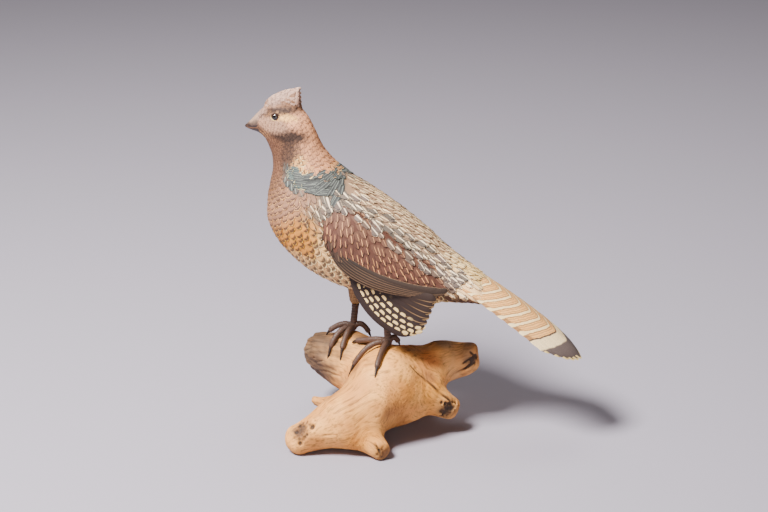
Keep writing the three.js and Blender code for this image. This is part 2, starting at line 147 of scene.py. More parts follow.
# Cracks in the driftwood: the points x, y, z along each, its half width and its depth.
CRACKS = [
    ([[42, -44, 87], [47, -43.5, 81], [54, -39.5, 73.5], [62, -37.7, 66.7], [70, -36.5, 58.5],
      [78, -32, 49], [84, -28, 42]], 1.4, 4.2),
    ([[45, -40, 83], [53, -36.5, 75], [63, -34, 67], [72, -31, 58]], 0.8, 0.9),
    ([[-40, -117, 27.5], [-31.5, -116, 28.3], [-23, -115, 29.5]], 0.8, 1.4),
    ([[-23, -115.2, 30], [-23.7, -114, 23.5]], 0.8, 1.2),
    ([[17, -107, 19.5], [21, -109, 15], [24, -111, 10], [23.5, -111, 5]], 1.2, 3.2),
    ([[27, -106.5, 18], [23.7, -110, 13.7]], 1.0, 2.6),
    ([[10, -103, 22], [16, -106, 15], [20, -108, 9]], 0.8, 1.2),
    ([[82, -2, 63.5], [89, 1, 68], [95.6, 3.8, 72.4], [101, 6.5, 76.5], [104, 9, 79]], 1.4, 5.0),
    ([[90, 2, 76], [94, 4.2, 79], [99, 7.5, 82.2], [103, 11, 85]], 1.1, 3.6),
    ([[97, 8, 88], [101, 9, 84], [103, 12, 79]], 1.2, 2.4),
    ([[-97, 20, 77], [-94.5, 18, 77.8], [-84, 12.5, 80.4], [-73, 8, 82.5]], 1.0, 2.0),
    ([[-95, 12, 69.5], [-91.5, 10, 71.3], [-87, 8.5, 74]], 1.0, 2.0),
    ([[-88, 13.6, 44.3], [-65, -9.4, 54], [-47, -20, 55.4]], 1.1, 1.8),
    ([[-75, -3.4, 58.4], [-62, -11, 60], [-51, -17.4, 60.4]], 0.9, 1.3),
    ([[-85, 4.6, 57.3], [-77, -1, 62], [-69, -5.6, 66.3]], 0.9, 1.4),
    ([[-96, 22, 60], [-92, 12, 60], [-80, 2, 66]], 0.9, 1.5),
    ([[-34, -6.4, 91], [-24, 0.3, 94], [-11, -1.1, 93.5]], 1.6, 1.8),
    ([[-36, 2, 92], [-27, 8, 93.5], [-14, 7, 94]], 1.4, 1.5),
    ([[44, 3, 92], [58, 12, 92.5], [74, 17, 92], [90, 20, 91]], 1.4, 1.6),
    ([[-60, 55, 62], [-78, 52, 58], [-92, 46, 56]], 1.1, 1.8),
    ([[40, 22, 74], [66, 36, 68], [88, 40, 72]], 1.0, 1.6),
    ([[6, -20, 94], [10, -44, 92], [0, -66, 80]], 0.8, 0.7),
    ([[30, -62, 80], [22, -80, 62], [14, -92, 44]], 0.8, 0.6),
]
# Worm holes: x, y, z and radius.
HOLES = [
    [-69.2, -115.1, 27.9, 2.6], [-51.6, -114.5, 35.9, 2.9], [-63.3, -120.7, 17.1, 2.4],
    [-70.2, -119.4, 22, 1.8], [-62.5, -118, 26.1, 1.9], [-60.4, -114.5, 32.5, 1.9],
    [-49, -110.5, 41.4, 1.3], [-55, -112.6, 37, 1.6], [-75.7, -105.5, 29.8, 1.6],
    [-70, -104.6, 33.2, 1.4], [-61.3, -119.8, 20.8, 1.6], [-59.8, -108.9, 37.8, 1.4],
    [78.4, -34.9, 42.1, 2.2], [83.2, -29.9, 40.4, 2.4], [72.9, -32.6, 26.3, 2.2],
    [81.6, -32.4, 35, 2.6], [84.1, -30.3, 33.4, 2.2], [79.9, -30.8, 25.2, 1.8],
    [76.2, -34.8, 32.4, 1.9],
]
# Patches where smaller holes are scattered: x, y, z, radius, how many.
WORMED = [[-64, -114, 28, 11, 60], [80, -31, 34, 11, 50], [24, -109, 11, 6, 10], [100, 9, 79, 7, 12]]
# Bumps and dents too small for the solid: x, y, z, reach and height.
LUMPS = [
    [64, 9, 92, 15, 5.5], [81, 14, 92, 8, -2.5], [96, 15, 90, 10, 4.0], [46, 0, 92, 10, -1.5],
    [97, 4, 70, 9, 2.0], [88, -6, 60, 8, -2.0], [-98, 30, 72, 10, -3.0], [-92, 20, 48, 10, -3.0],
    [-70, 0, 44, 12, -2.5], [-24, 3, 92, 9, 1.6], [80, -30, 46, 7, 1.2], [74, -36, 26, 6, 2.0],
    [20, -108, 16, 6, 1.2], [27, -106, 8, 5, -1.5], [-30, -100, 44, 12, 1.5], [-8, -90, 50, 10, -1.2],
]
# The wood's colour, and its stains and patches of painted shade: x, y, z, radius and the colour there. The
# brown patch at (42, -69, 66) is partly painted soft shadow.
WOOD = "f1ceaa"
STAINS_AND_SHADE = [
    [-75, 10, 65, 46, "a08066"], [-60, 40, 60, 50, "957962"], [-84, 24, 80, 30, "94765a"],
    [-85, 30, 42, 30, "8a705b"], [60, 30, 66, 40, "dbc0a8"], [80, 14, 66, 26, "d6bba2"],
    [66, 11, 93, 18, "bfa48c"], [95, 13, 90, 14, "a78a74"], [40, -8, 95, 16, "cbb098"],
    [54, -14, 84, 15, "e2b898"], [98, 6, 77, 10, "b08c70"], [-22, 1, 96, 20, "a6866a"],
    [60, -40, 55, 24, "e0b484"], [42, -69, 66, 20, "dcb183"], [-64, -114, 28, 14, "b98c64"],
    [24, -109, 11, 11, "c2925f"], [80, -31, 33, 13, "a67f58"], [0, -104, 20, 24, "e0b486"],
    [30, -110, 4, 12, "b08760"], [20, -60, 20, 30, "cfa070"], [-36, -80, 52, 16, "d6b08a"],
    [30, -84, 46, 12, "cda27a"], [-20, -52, 84, 12, "d0a882"], [56, -30, 70, 10, "c3946c"],
]

# How far apart the scutes are on a shin and on a toe, in mm.
SCUTES = {"shin": 3.2, "toe": 2.3}
# The bird's material slots, and how finely the forms under its feathers are drawn: rings and sides.
PLUMAGE, BILL, TAIL_FEATHERS, FLIGHT_FEATHERS, LIDS = range(5)
BODY_GRID, WING_GRID, CREST_GRID = (150, 96), (80, 64), (60, 48)
# Where the bill ends and where the body's feathers begin and end, as shares of the run of stations.
BILL_END = 0.118
FEATHERS_END = 0.955
RUMP_END = 0.925
# How far apart the rows of feathers are and how wide they are, in mm, along the run of stations.
BODY_STEPS = [[0.09, 3.4], [0.30, 3.8], [0.38, 4.8], [0.50, 6.2], [0.60, 7.4], [0.72, 8.0], [0.85, 7.5]]
BODY_WIDTHS = [[0.09, 3.6], [0.30, 4.2], [0.40, 6.4], [0.50, 8.2], [0.60, 9.4], [0.72, 9.2], [0.85, 7.5]]
# The fine-feathered head ends here, and the coarse feathers of the back begin here.
HEAD_END = 0.42
BACK_START = 0.48
# The ruff's rows of feathers: where each begins, as a share from back to belly, and its length in mm.
RUFF_ROWS = [(0.38, 17), (0.31, 21), (0.24, 24), (0.17, 22), (0.09, 18), (0.01, 16)]
# The rows above the wing: mm above its edge, size, how many feathers, and the share of grey ones.
SCAPULAR_ROWS = [(-3, 0.75, 20, 0.3), (1, 0.95, 16, 0.7), (6, 0.9, 16, 0.4), (11, 0.75, 18, 0.2)]
# The notches along the tail's outermost edges, in mm from the root.
NOTCHES = {"first": 26.0, "gap": 15.3, "depth": 1.1, "from": 18, "to": 122}
# A feather's plate: how far its surface is looked for, how deep it goes in, and its walls in the map.
SETTLE_REACH = 14.0
SKIRT = 0.7
MAP_WALL = 0.4
# How far apart the feathers are in the map, in mm.
MAP_GAP = 0.6
# The place on a feather whose plain ground colour the bare forms under the feathers have.
BARE_VANE = (0.5, 0.4, 20, 10)

# The drawing frame's place in the part's frame, read from where the left eye sits.
eye_low, eye_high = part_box("left_eye")
SHIFT = (np.array(eye_low) + np.array(eye_high)) / 2 / MM - [EYE["x"], -EYE["y"], EYE["z"]]


# Curves and surfaces

def run(rows):
    """A smooth run through rows of numbers, as a function of 0 to 1."""
    rows = np.array(rows, float)
    last = len(rows) - 1

    def at(t):
        x = np.clip(t, 0, 1) * last
        i = np.minimum(np.floor(x).astype(int), last - 1)
        f = (x - i)[..., None]
        a, b, c, d = (rows[np.clip(i + k, 0, last)] for k in (-1, 0, 1, 2))
        slope_b, slope_c, rise = (c - a) / 2, (d - b) / 2, c - b
        return b + f * (slope_b + f * (3 * rise - 2 * slope_b - slope_c + f * (slope_b + slope_c - 2 * rise)))

    return at


def mix(a, b, t):
    """From a, where t is 0, to b, where it is 1."""
    return a + (b - a) * t


def turned(around):
    """The cosine and the sine of a share of a whole turn."""
    return np.cos(2 * np.pi * around), np.sin(2 * np.pi * around)


def power(x, p):
    """A power that keeps the sign."""
    return np.sign(x) * np.abs(x) ** p


def unit(v):
    return v / np.maximum(np.linalg.norm(v, axis=-1, keepdims=True), 1e-9)


def smooth(low, high, x):
    """From 0 where x is low to 1 where it is high, smoothly."""
    t = np.clip((x - low) / (high - low), 0, 1)
    return t * t * (3 - 2 * t)


def thin_ends(t, root, tip):
    """From 1 along a form to 0 at its root and its tip, straight."""
    return np.minimum(np.minimum(1, root * t), tip * (1 - t))


def round_ends(t, root, tip):
    """From 1 along a form to 0 at its root and its tip, rounded."""
    return np.minimum(1, np.minimum(np.sqrt(tip * (1 - t)), np.sqrt(root * t)))


def stacked(*parts):
    """Numbers and arrays side by side, along a new last axis."""
    return np.stack(np.broadcast_arrays(*parts), -1)


def travelled(line, weight=1):
    """How far along a line of points each of them is, in mm."""
    return np.concatenate([[0], np.cumsum(weight * np.linalg.norm(np.diff(line, axis=0), axis=1))])


def from_back(around):
    """How far round from the back's ridge, 0, to the belly, 1, a place is on either side."""
    return 1 - np.abs(1 - 2 * (around % 1))


body_at, crest_at, shield_at = run(BODY), run(CREST), run(SHIELD)


def body(t, around):
    """The head, neck and body: t from the bill to the rump, around from the back's ridge."""
    back_x, back_z, belly_x, belly_z, width, boxy = np.moveaxis(body_at(t), -1, 0)
    c, s = turned(around)
    c, s = power(c, 2 / boxy), power(s, 2 / boxy)
    up = 0.5 + 0.5 * c
    return stacked(mix(belly_x, back_x, up), s * width, mix(belly_z, back_z, up))


def crest(t, around):
    """The crest's solid core, narrower at its ridge."""
    end = thin_ends(t, 8, 14)
    ridge_x, ridge_z, root_x, root_z, width = np.moveaxis(crest_at(t), -1, 0)
    c, s = turned(around)
    rise = 0.5 + 0.5 * c * end
    y = s * end * width * (1 - CREST_TAPER * rise) * np.minimum(1, np.sqrt(5 * (1 - t)))
    return stacked(mix(root_x, ridge_x, rise), y, mix(root_z, ridge_z, rise))


def shield(side):
    """The form of a wing's shield, bulging outwards and let into the body."""
    def place(t, around):
        low_x, low_z, low_y, high_x, high_z, high_y, bulge = np.moveaxis(shield_at(t), -1, 0)
        c, s = turned(around)
        up = 0.5 + 0.5 * c
        out = np.where(s > 0, bulge * s, SHIELD_DEPTH * s * thin_ends(t, 5, 5))
        y = side * (mix(low_y, high_y, up) + out)
        return stacked(mix(low_x, high_x, up), y, mix(low_z, high_z, up))

    return place


def thigh(leg):
    """The form of a feathered thigh, from inside the body to its cuff."""
    def place(t, around):
        knee, cuff = np.array(leg["knee"], float), np.array(leg["cuff"], float)
        c, s = turned(around)
        radius = mix(LEG["knee"], LEG["cuff"], np.sqrt(t))
        middle = knee + (cuff - knee) * t[..., None]
        return middle + stacked(LEG["flatness"] * c * radius, s * radius, 0)

    return place


def bend_through(a, b, c, t):
    """A bend from a to c that is pulled towards b."""
    a, b, c = (np.array(p, float) for p in (a, b, c))
    t = t[..., None]
    return mix(mix(a, b, t), mix(b, c, t), t)


def primary_spine(side, k):
    """The middle line of a hanging flight feather, k from 0 at the front to 1 at the back."""
    root, bend, tip = (run(rows)(np.array(float(k)))
                       for rows in (PRIMARY_ROOTS, PRIMARY_BENDS, PRIMARY_TIPS))

    def spine(t):
        x, z, y = np.moveaxis(bend_through(root, bend, tip, t), -1, 0)
        return stacked(x, side * (y + mix(*PRIMARY_LAYERS, k)), z)

    return spine


def tail_line(distance):
    """The tail's middle line, ever steeper: x, z and the slope at distances from its root."""
    steps = 12
    x, z = TAIL["root_x"] + 0 * distance, TAIL["root_z"] + 0 * distance
    for i in range(steps):
        share = (i + 0.5) / steps * distance / TAIL["lengths"][0]
        slope = np.radians(TAIL["slope"] + TAIL["droop"] * share * share)
        x, z = x + distance / steps * np.cos(slope), z - distance / steps * np.sin(slope)
    return x, z, slope


def tail_spine(number):
    """The middle line of a tail feather, counted from the middle; the sign is its side."""
    length = TAIL["lengths"][abs(number)]

    def spine(t):
        y = number * mix(TAIL["root_step"], TAIL["tip_step"], np.sqrt(t))
        x, z, slope = tail_line(t * length)
        drop = TAIL["layer"] * abs(number) + TAIL["arch"] * y * y
        return stacked(x - drop * np.sin(slope), y, z - drop * np.cos(slope))

    return spine


def normals(place, t, around):
    """Outward normals of a closed form at its own parameters."""
    h = 1e-3
    along = place(np.minimum(t + h, 1), around) - place(np.maximum(t - h, 0), around)
    across = place(t, around + h) - place(t, around - h)
    return unit(np.cross(along, across))


# Paint

# The view that the picture is seen through dulls and lifts its colours. A colour as seen goes back
# through it: mixed as its film mixes it, back through its curve to light, and unmixed.
FILM_MIX = np.array([[0.36, 0.51, 0.13], [0.23, 0.66, 0.11], [0.20, 0.24, 0.56]])
FILM_UNMIX = np.array([[7.50, -5.86, -0.64], [-2.02, 3.71, -0.69], [-1.16, 0.29, 1.87]])
FILM_CURVE = (-1.99, 1.44, 1.16, 0.99)
# How strong the light on the bird is, where a colour shows as it is written.
LIGHT = 2.8
BRIGHTEST = 0.89


def colour(hex_code):
    """A colour as seen, such as "c9a06b", as the linear numbers that the shader wants."""
    seen = np.array([int(hex_code[i:i + 2], 16) / 255 for i in (0, 2, 4)])
    seen = seen * min(1, BRIGHTEST / seen.max())
    linear = np.where(seen <= 0.04045, seen / 12.92, ((seen + 0.055) / 1.055) ** 2.4)
    film = (FILM_MIX @ linear) ** (1 / 2.2)
    base, toe, shoulder, top = FILM_CURVE
    stops = base + toe * np.log2(film) - shoulder * np.log2(top - np.minimum(film, top - 0.02))
    mixed = np.maximum(FILM_UNMIX @ 2.0 ** stops / LIGHT, 0.002)
    return mixed * min(1, 0.9 / mixed.max())


# Each kind of feather: its ground, its edge, the band inside the edge and its shaft streak, then
# the widths of the edge and the band in mm, the streak's half width and where it begins, as shares.
PAINTS = {
    "neck": ("aa8064", "d0ac8a", "74503b", "835a43", 0.7, 1.2, 0.18, 0.3),
    "nape": ("d6b097", "e2c5b0", "a07a62", "b18b74", 0.5, 0.6, 0.12, 0.3),
    "crown": ("c3aca0", "d0beb2", "9c8477", "a89286", 0.4, 0.4, 0.12, 0.2),
    "crest": ("cbb5a9", "d8c9be", "9a887d", "a8988d", 0.3, 0.5, 0.12, 0.2),
    "brow": ("5f3f2a", "714c36", "452a1c", "452a1c", 0.3, 0.3, 0.2, 0.1),
    "rufous": ("b28768", "c39a7c", "8a6046", "875d43", 0.4, 0.5, 0.16, 0.2),
    "eye_stripe": ("e4cbaf", "ecd8bf", "d3b698", "d6b99b", 0.3, 0.3, 0.08, 0.3),
    "cheek": ("c9ad9b", "d8bfae", "a68675", "a68675", 0.4, 0.4, 0.1, 0.2),
    "face": ("dcbba7", "e4cab9", "b18f79", "b8957e", 0.4, 0.6, 0.14, 0.2),
    "jaw": ("5c3d2a", "7a5844", "412619", "412619", 0.4, 0.6, 0.18, 0.2),
    "throat": ("a3765a", "c29877", "7a503a", "754e39", 0.4, 0.5, 0.22, 0.2),
    "throat_dark": ("714c37", "957156", "4c3124", "483024", 0.5, 0.7, 0.28, 0.2),
    "collar": ("dcba97", "f7ecda", "654434", "563a2d", 1.3, 0.3, 0.26, 0.3),
    "breast_top": ("bd9982", "e4ccb4", "6b4536", "926a55", 0.8, 1.4, 0.1, 0.5),
    "breast": ("daa874", "efd2a2", "563422", "b98b60", 0.7, 2.3, 0.05, 0.6),
    "breast_side": ("dfc6a9", "f5e9da", "5f4537", "b4947a", 1.4, 2.3, 0.05, 0.6),
    "belly": ("dcc7b0", "f4ecdc", "735a43", "8e745a", 1.5, 2.4, 0.24, 0.4),
    "vent": ("cab29a", "e6d8c2", "6e533d", "826449", 1.3, 1.6, 0.2, 0.4),
    "back": ("ab9580", "d4c4b4", "6a5848", "f7eee2", 0.8, 1.0, 0.2, 0.15),
    "back_top": ("c2a892", "dcc8b4", "846c58", "f6ecde", 0.6, 0.9, 0.2, 0.2),
    "shoulder": ("96877a", "cfc2b4", "5c5048", "f4ece2", 0.8, 1.1, 0.2, 0.1),
    "rump": ("e2d2c0", "f4eae0", "85756a", "fdf7ee", 0.8, 0.9, 0.24, 0.15),
    "rump_top": ("decaae", "ecdeca", "937a64", "f6ecdc", 0.6, 0.8, 0.24, 0.2),
    "flank": ("7f563c", "a57c5a", "523529", "6e4a35", 0.6, 0.8, 0.15, 0.4),
    "shield": ("84513a", "8c5a40", "583624", "e4c4a8", 0.2, 0.8, 0.07, 0.42),
    "shield_top": ("976a50", "a07255", "76513c", "dabba2", 0.3, 0.4, 0.07, 0.35),
    # A darker copy of the shield's paint: painted shade on the wing's lower front.
    "shield_low_shade": ("5f4230", "704f3a", "3e2c1f", "a88c70", 0.3, 0.7, 0.06, 0.4),
    "secondary": ("523b2c", "a88a6e", "38251b", "a88a70", 0.8, 0.8, 0.13, 0.02),
    "scapular": ("98857a", "d4c8bc", "5c504a", "fbf3ea", 1.0, 1.0, 0.2, 0.08),
    "ruff": ("706f6c", "98978f", "4f524f", "b4b6ae", 0.5, 0.8, 0.12, 0.1),
    "ruff_tip": ("76807d", "e4dccd", "5b6562", "b3b4aa", 0.9, 0.8, 0.06, 0.1),
    "thigh": ("c6aa8e", "d8c0a4", "9c8064", "a68a6e", 0.6, 0.5, 0.12, 0.3),
}
PAINTED = ("ground", "edge", "band", "shaft")
PAINT_NUMBERS = 4 * len(PAINTED)


def paint(name):
    """The kind's numbers as one row: four colours, then the four widths."""
    entry = PAINTS[name]
    return np.concatenate([colour(code) for code in entry[:4]] + [np.array(entry[4:])])


def coats(name, *counts):
    """The kind's row, once for each feather or point."""
    return np.broadcast_to(paint(name), counts + (PAINT_NUMBERS,))


def layered(rows, layers):
    """Rows with other kinds laid over them, each by its share, the last one on top."""
    for name, share in layers:
        rows = mix(rows, paint(name), share[..., None])
    return rows


def varied(rows, amount):
    """Rows with each feather's colours made a little lighter or darker by chance."""
    rows[..., :4 * 3] *= 1 + amount * RANDOM.normal(0, 1, rows.shape[:-1])[..., None]
    return rows


def spot(x, z, centre, size, tilt=0, soft=0.5):
    """How much of each point is inside a soft ellipse in the bird's profile, from 0 to 1."""
    angle = math.radians(tilt)
    dx, dz = x - centre[0], z - centre[1]
    along = (dx * math.cos(angle) + dz * math.sin(angle)) / size[0]
    across = (dz * math.cos(angle) - dx * math.sin(angle)) / size[1]
    return 1 - smooth(1 - soft / 2, 1 + soft / 2, np.hypot(along, across))


def ruff_edges(down):
    """Where the dark ruff begins and ends, a band that slants from the nape to the neck's side."""
    upper = 0.485 - 0.30 * down * down
    lower = 0.538 - 0.405 * np.maximum(down - 0.22, 0) ** 1.27 - 0.17 * np.maximum(0.2 - down, 0)
    return upper, lower


def ruff_share(t, down):
    """How much of each point is in the dark ruff, from 0 to 1."""
    upper, lower = ruff_edges(down)
    inside = smooth(-0.004, 0.006, t - upper) * smooth(-0.004, 0.006, lower - t)
    return inside * (1 - smooth(0.53, 0.6, down))


def coat(p, t, around, loose=1.2):
    """The paint of the body's feathers at points on it, one row of numbers each."""
    x, z = p[..., 0], p[..., 2]
    down = from_back(around)
    x, z = x + loose * RANDOM.normal(0, 1, x.shape), z + loose * RANDOM.normal(0, 1, x.shape)
    past = lambda low, high: smooth(low, high, t)
    under = lambda low, high: smooth(low, high, down)
    on_top = lambda low, high: 1 - smooth(low, high, down)
    spotted = lambda *place: spot(x, z, *place)
    layers = [
        ("breast_top", past(0.42, 0.47)),
        ("breast", past(0.50, 0.555)),
        ("breast_side", spotted((-44, 214), (20, 34), 40) * under(0.3, 0.4)),
        ("breast_side", spotted((-70, 186), (44, 15), -38) * under(0.3, 0.4)),
        ("belly", smooth(0.56, 0.64, t - 0.05 * (1 - down)) * under(0.42, 0.56)),
        ("vent", past(0.76, 0.84) * under(0.5, 0.65)),
        ("back", past(0.49, 0.53) * on_top(0.42, 0.54)),
        ("back_top", past(0.47, 0.52) * on_top(0.12, 0.24)),
        ("shoulder", past(0.51, 0.55) * under(0.16, 0.26) * on_top(0.4, 0.5) * (1 - past(0.68, 0.76))),
        ("rump", past(0.72, 0.80) * on_top(0.42, 0.56)),
        ("rump_top", past(0.72, 0.80) * on_top(0.1, 0.2)),
        ("flank", spotted((84, 170), (30, 12), -12) * under(0.5, 0.56)),
        ("face", spotted((-92, 340), (16, 16))),
        ("collar", spotted((-76, 302), (23, 9), 4, 0.6)),
        ("throat", spotted((-119, 308), (12, 22), 6)),
        ("throat_dark", spotted((-103, 309), (8, 20), -4) * 0.8),
        ("nape", spotted((-76, 322), (13, 30), 24)),
        ("jaw", spotted((-102, 330), (21, 7.5), -6)),
        ("cheek", spotted((-121, 341), (19, 8.0), -6)),
        ("crown", smooth(354, 361, z + 0.2 * (x + 110)) * (1 - past(0.24, 0.33)) * on_top(0.3, 0.42)),
        ("crown", spotted((-140, 350), (12, 6), 35)),
        ("rufous", spotted((-101, 360), (18, 5.6))),
        ("brow", spotted((-110, 357.2), (17, 3.2), 4)),
        ("brow", spotted((-131, 351.0), (8, 1.2), 28) * 0.9),
        ("eye_stripe", spotted((-104, 349.5), (12, 3.2), -2)),
    ]
    rows = varied(layered(coats("neck", *x.shape), layers), 0.05 * loose)
    return layered(rows, [("ruff", ruff_share(t, down))])


# Meshes

def squares(index, turned=False):
    """The faces between the points of a grid of point numbers, turned over or not."""
    corners = [index[:-1, :-1], index[:-1, 1:], index[1:, 1:], index[1:, :-1]]
    if turned:
        corners = [corners[0], *corners[:0:-1]]
    return np.stack(corners, -1).reshape(-1, 4)


def wrapped(rows, sides, again=0):
    """A grid of point numbers that meets itself round its sides, and along its rows if again is 1."""
    return np.pad(np.arange(rows * sides).reshape(rows, sides), ((0, again), (0, 1)), mode="wrap")


def places_round(rings, sides):
    """How far along and how far round each point of a closed form is, as shares."""
    return np.meshgrid(np.linspace(0, 1, rings + 1), np.arange(sides) / sides, indexing="ij")


def ball(rings, sides):
    """A ball's points from pole to pole, 1 in radius: across, across and along, and the shares."""
    t, around = places_round(rings, sides)
    c, s = turned(around)
    return np.sin(np.pi * t) * c, np.sin(np.pi * t) * s, np.cos(np.pi * t), t, around


def enclosed(points, faces):
    """Six times the volume inside a closed part, below zero if its faces look inwards."""
    middle = points.mean(0)
    corners = np.array([(f[0], f[i], f[i + 1]) for f in faces for i in range(1, len(f) - 1)])
    a, b, c = (points[corners[:, k]] - middle for k in range(3))
    return (a * np.cross(b, c)).sum()


class Shape:
    """Points in drawing millimetres with faces and values at each point, made up from parts."""

    KEYS = ("vane", "ground", "edge", "band", "shaft", "extra")

    def __init__(self):
        self.points, self.faces, self.slots, self.hidden = [], [], [], []
        self.values = {key: [] for key in self.KEYS}
        self.cells, self.cell_of, self.local = [], [], []
        self.count = 0

    def add(self, points, faces, slot, values, local, hidden=None):
        """Adds a closed part. local is each point's place in mm in its cell of the texture map."""
        points, local = points.reshape(-1, 3), local.reshape(-1, 2)
        if enclosed(points, faces) < 0:
            faces = [tuple(face)[::-1] for face in faces]
        self.points.append(points)
        self.faces.extend([tuple(int(i) + self.count for i in face) for face in faces])
        self.slots.extend([slot] * len(faces))
        self.hidden.extend(hidden or [False] * len(faces))
        for key in self.KEYS:
            value = np.asarray(values.get(key, (0, 0, 0, 0)), float).reshape(-1, 4)
            self.values[key].append(np.broadcast_to(value, (len(points), 4)))
        low = local.min(0)
        self.cells.append(local.max(0) - low)
        self.cell_of.append(np.full(len(points), len(self.cells) - 1))
        self.local.append(local - low)
        self.count += len(points)

    def triangles(self):
        return sum(len(face) - 2 for face in self.faces)


def packed_cells(sizes):
    """Places rectangles in rows in a square: their corners and the square's side."""
    sizes = np.array(sizes) + MAP_GAP
    side = math.sqrt((sizes[:, 0] * sizes[:, 1]).sum()) * 1.02
    order = np.argsort(-sizes[:, 1])
    while True:
        corners = np.zeros_like(sizes)
        x = y = row = 0.0
        for i in order:
            if x + sizes[i, 0] > side:
                x, y, row = 0.0, y + row, 0.0
            corners[i] = (x, y)
            x, row = x + sizes[i, 0], max(row, sizes[i, 1])
        if y + row <= side:
            return corners, side
        side *= 1.01


def placed(name, data, place=(0, 0, 0), way=None):
    """A new object that holds the data, in the scene at a place in metres and looking that way."""
    made = bpy.data.objects.new(name, data)
    made.location = place
    if way is not None:
        made.rotation_euler = Vector(way).to_track_quat("-Z", "Y").to_euler()
    bpy.context.collection.objects.link(made)
    return made


def piece(name, shape, materials, sharp=45, mapped=True):
    """Makes the Blender object of a shape, in metres in the part's frame."""
    points = (np.concatenate(shape.points) + SHIFT) * MM
    mesh = bpy.data.meshes.new(name)
    mesh.from_pydata(points, [], shape.faces)
    mesh.polygons.foreach_set("material_index", np.array(shape.slots, np.int32))
    mesh.polygons.foreach_set("use_smooth", np.ones(len(shape.faces), bool))
    for key in shape.KEYS:
        held = np.concatenate(shape.values[key]).astype(np.float32)
        if not held.any():
            continue
        mesh.attributes.new(key, "FLOAT_COLOR", "POINT").data.foreach_set("color", held.ravel())
    if mapped:
        corners, side = packed_cells(shape.cells)
        spread = (np.concatenate(shape.local) + corners[np.concatenate(shape.cell_of)]) / side
        corner_point = np.empty(len(mesh.loops), np.int32)
        mesh.loops.foreach_get("vertex_index", corner_point)
        uv = spread[corner_point]
        sizes = np.array([len(face) for face in shape.faces])
        uv[np.repeat(np.array(shape.hidden), sizes)] *= 0.001
        mesh.uv_layers.new(name="OFBake").data.foreach_set("uv", uv.astype(np.float32).ravel())
    for material in materials:
        mesh.materials.append(material)
    mesh.validate()
    mesh.set_sharp_from_angle(angle=math.radians(sharp))
    made = placed(name, mesh)
    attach(made, "root")
    return made


def skin(place, rings, sides):
    """Points and faces of a closed form, its ends drawn together in the middle of their rings."""
    t, around = places_round(rings, sides)
    points = place(t, around)
    for row in (0, rings):
        points[row] = (place(t[row, :1], np.zeros(1)) + place(t[row, :1], np.full(1, 0.5))) / 2
    return points, squares(wrapped(rings + 1, sides)), t, around


def add_skin(shape, place, rings, sides, coat_of):
    """A bare form under its feathers, painted in their ground colours."""
    points, faces, t, around = skin(place, rings, sides)
    rows = coat_of(points, t, around).reshape(-1, PAINT_NUMBERS)
    size = np.ptp(points.reshape(-1, 3), axis=0)
    local = stacked(t * size[0] * 0.5, around * size[2] * 0.5)
    shape.add(points, faces, PLUMAGE, painted(rows, BARE_VANE, 0.5), local)


def painted(rows, vane, chance):
    """The values at points for rows of paint numbers."""
    values = {key: stacked(*rows[:, 3 * k:3 * k + 3].T, rows[:, k - 4]) for k, key in enumerate(PAINTED)}
    return {**values, "vane": vane, "extra": stacked(np.full(len(rows), chance), 0, 0, 0)}


def tree_of(*forms):
    """A search tree over finely drawn forms, for laying feathers on them."""
    points, faces, count = [], [], 0
    for place, grid in forms:
        p, f, _, _ = skin(place, *grid)
        points.append(p.reshape(-1, 3))
        faces.append(f + count)
        count += p[..., 0].size
    return BVHTree.FromPolygons(np.concatenate(points).tolist(), np.concatenate(faces).tolist())


def settle(tree, points, out):
    """Moves each point along its direction out onto the surface. Returns places and normals."""
    places, faces = points.copy(), out.copy()
    for i, (point, way) in enumerate(zip(points, out)):
        hit, normal, _, _ = tree.ray_cast(Vector(point + way * SETTLE_REACH), Vector(-way), 2 * SETTLE_REACH)
        if hit is None:
            hit, normal, _, _ = tree.find_nearest(Vector(point))
        places[i] = hit
        facing = np.array(normal)
        faces[i] = facing if facing @ way > 0 else -facing
    return places, faces


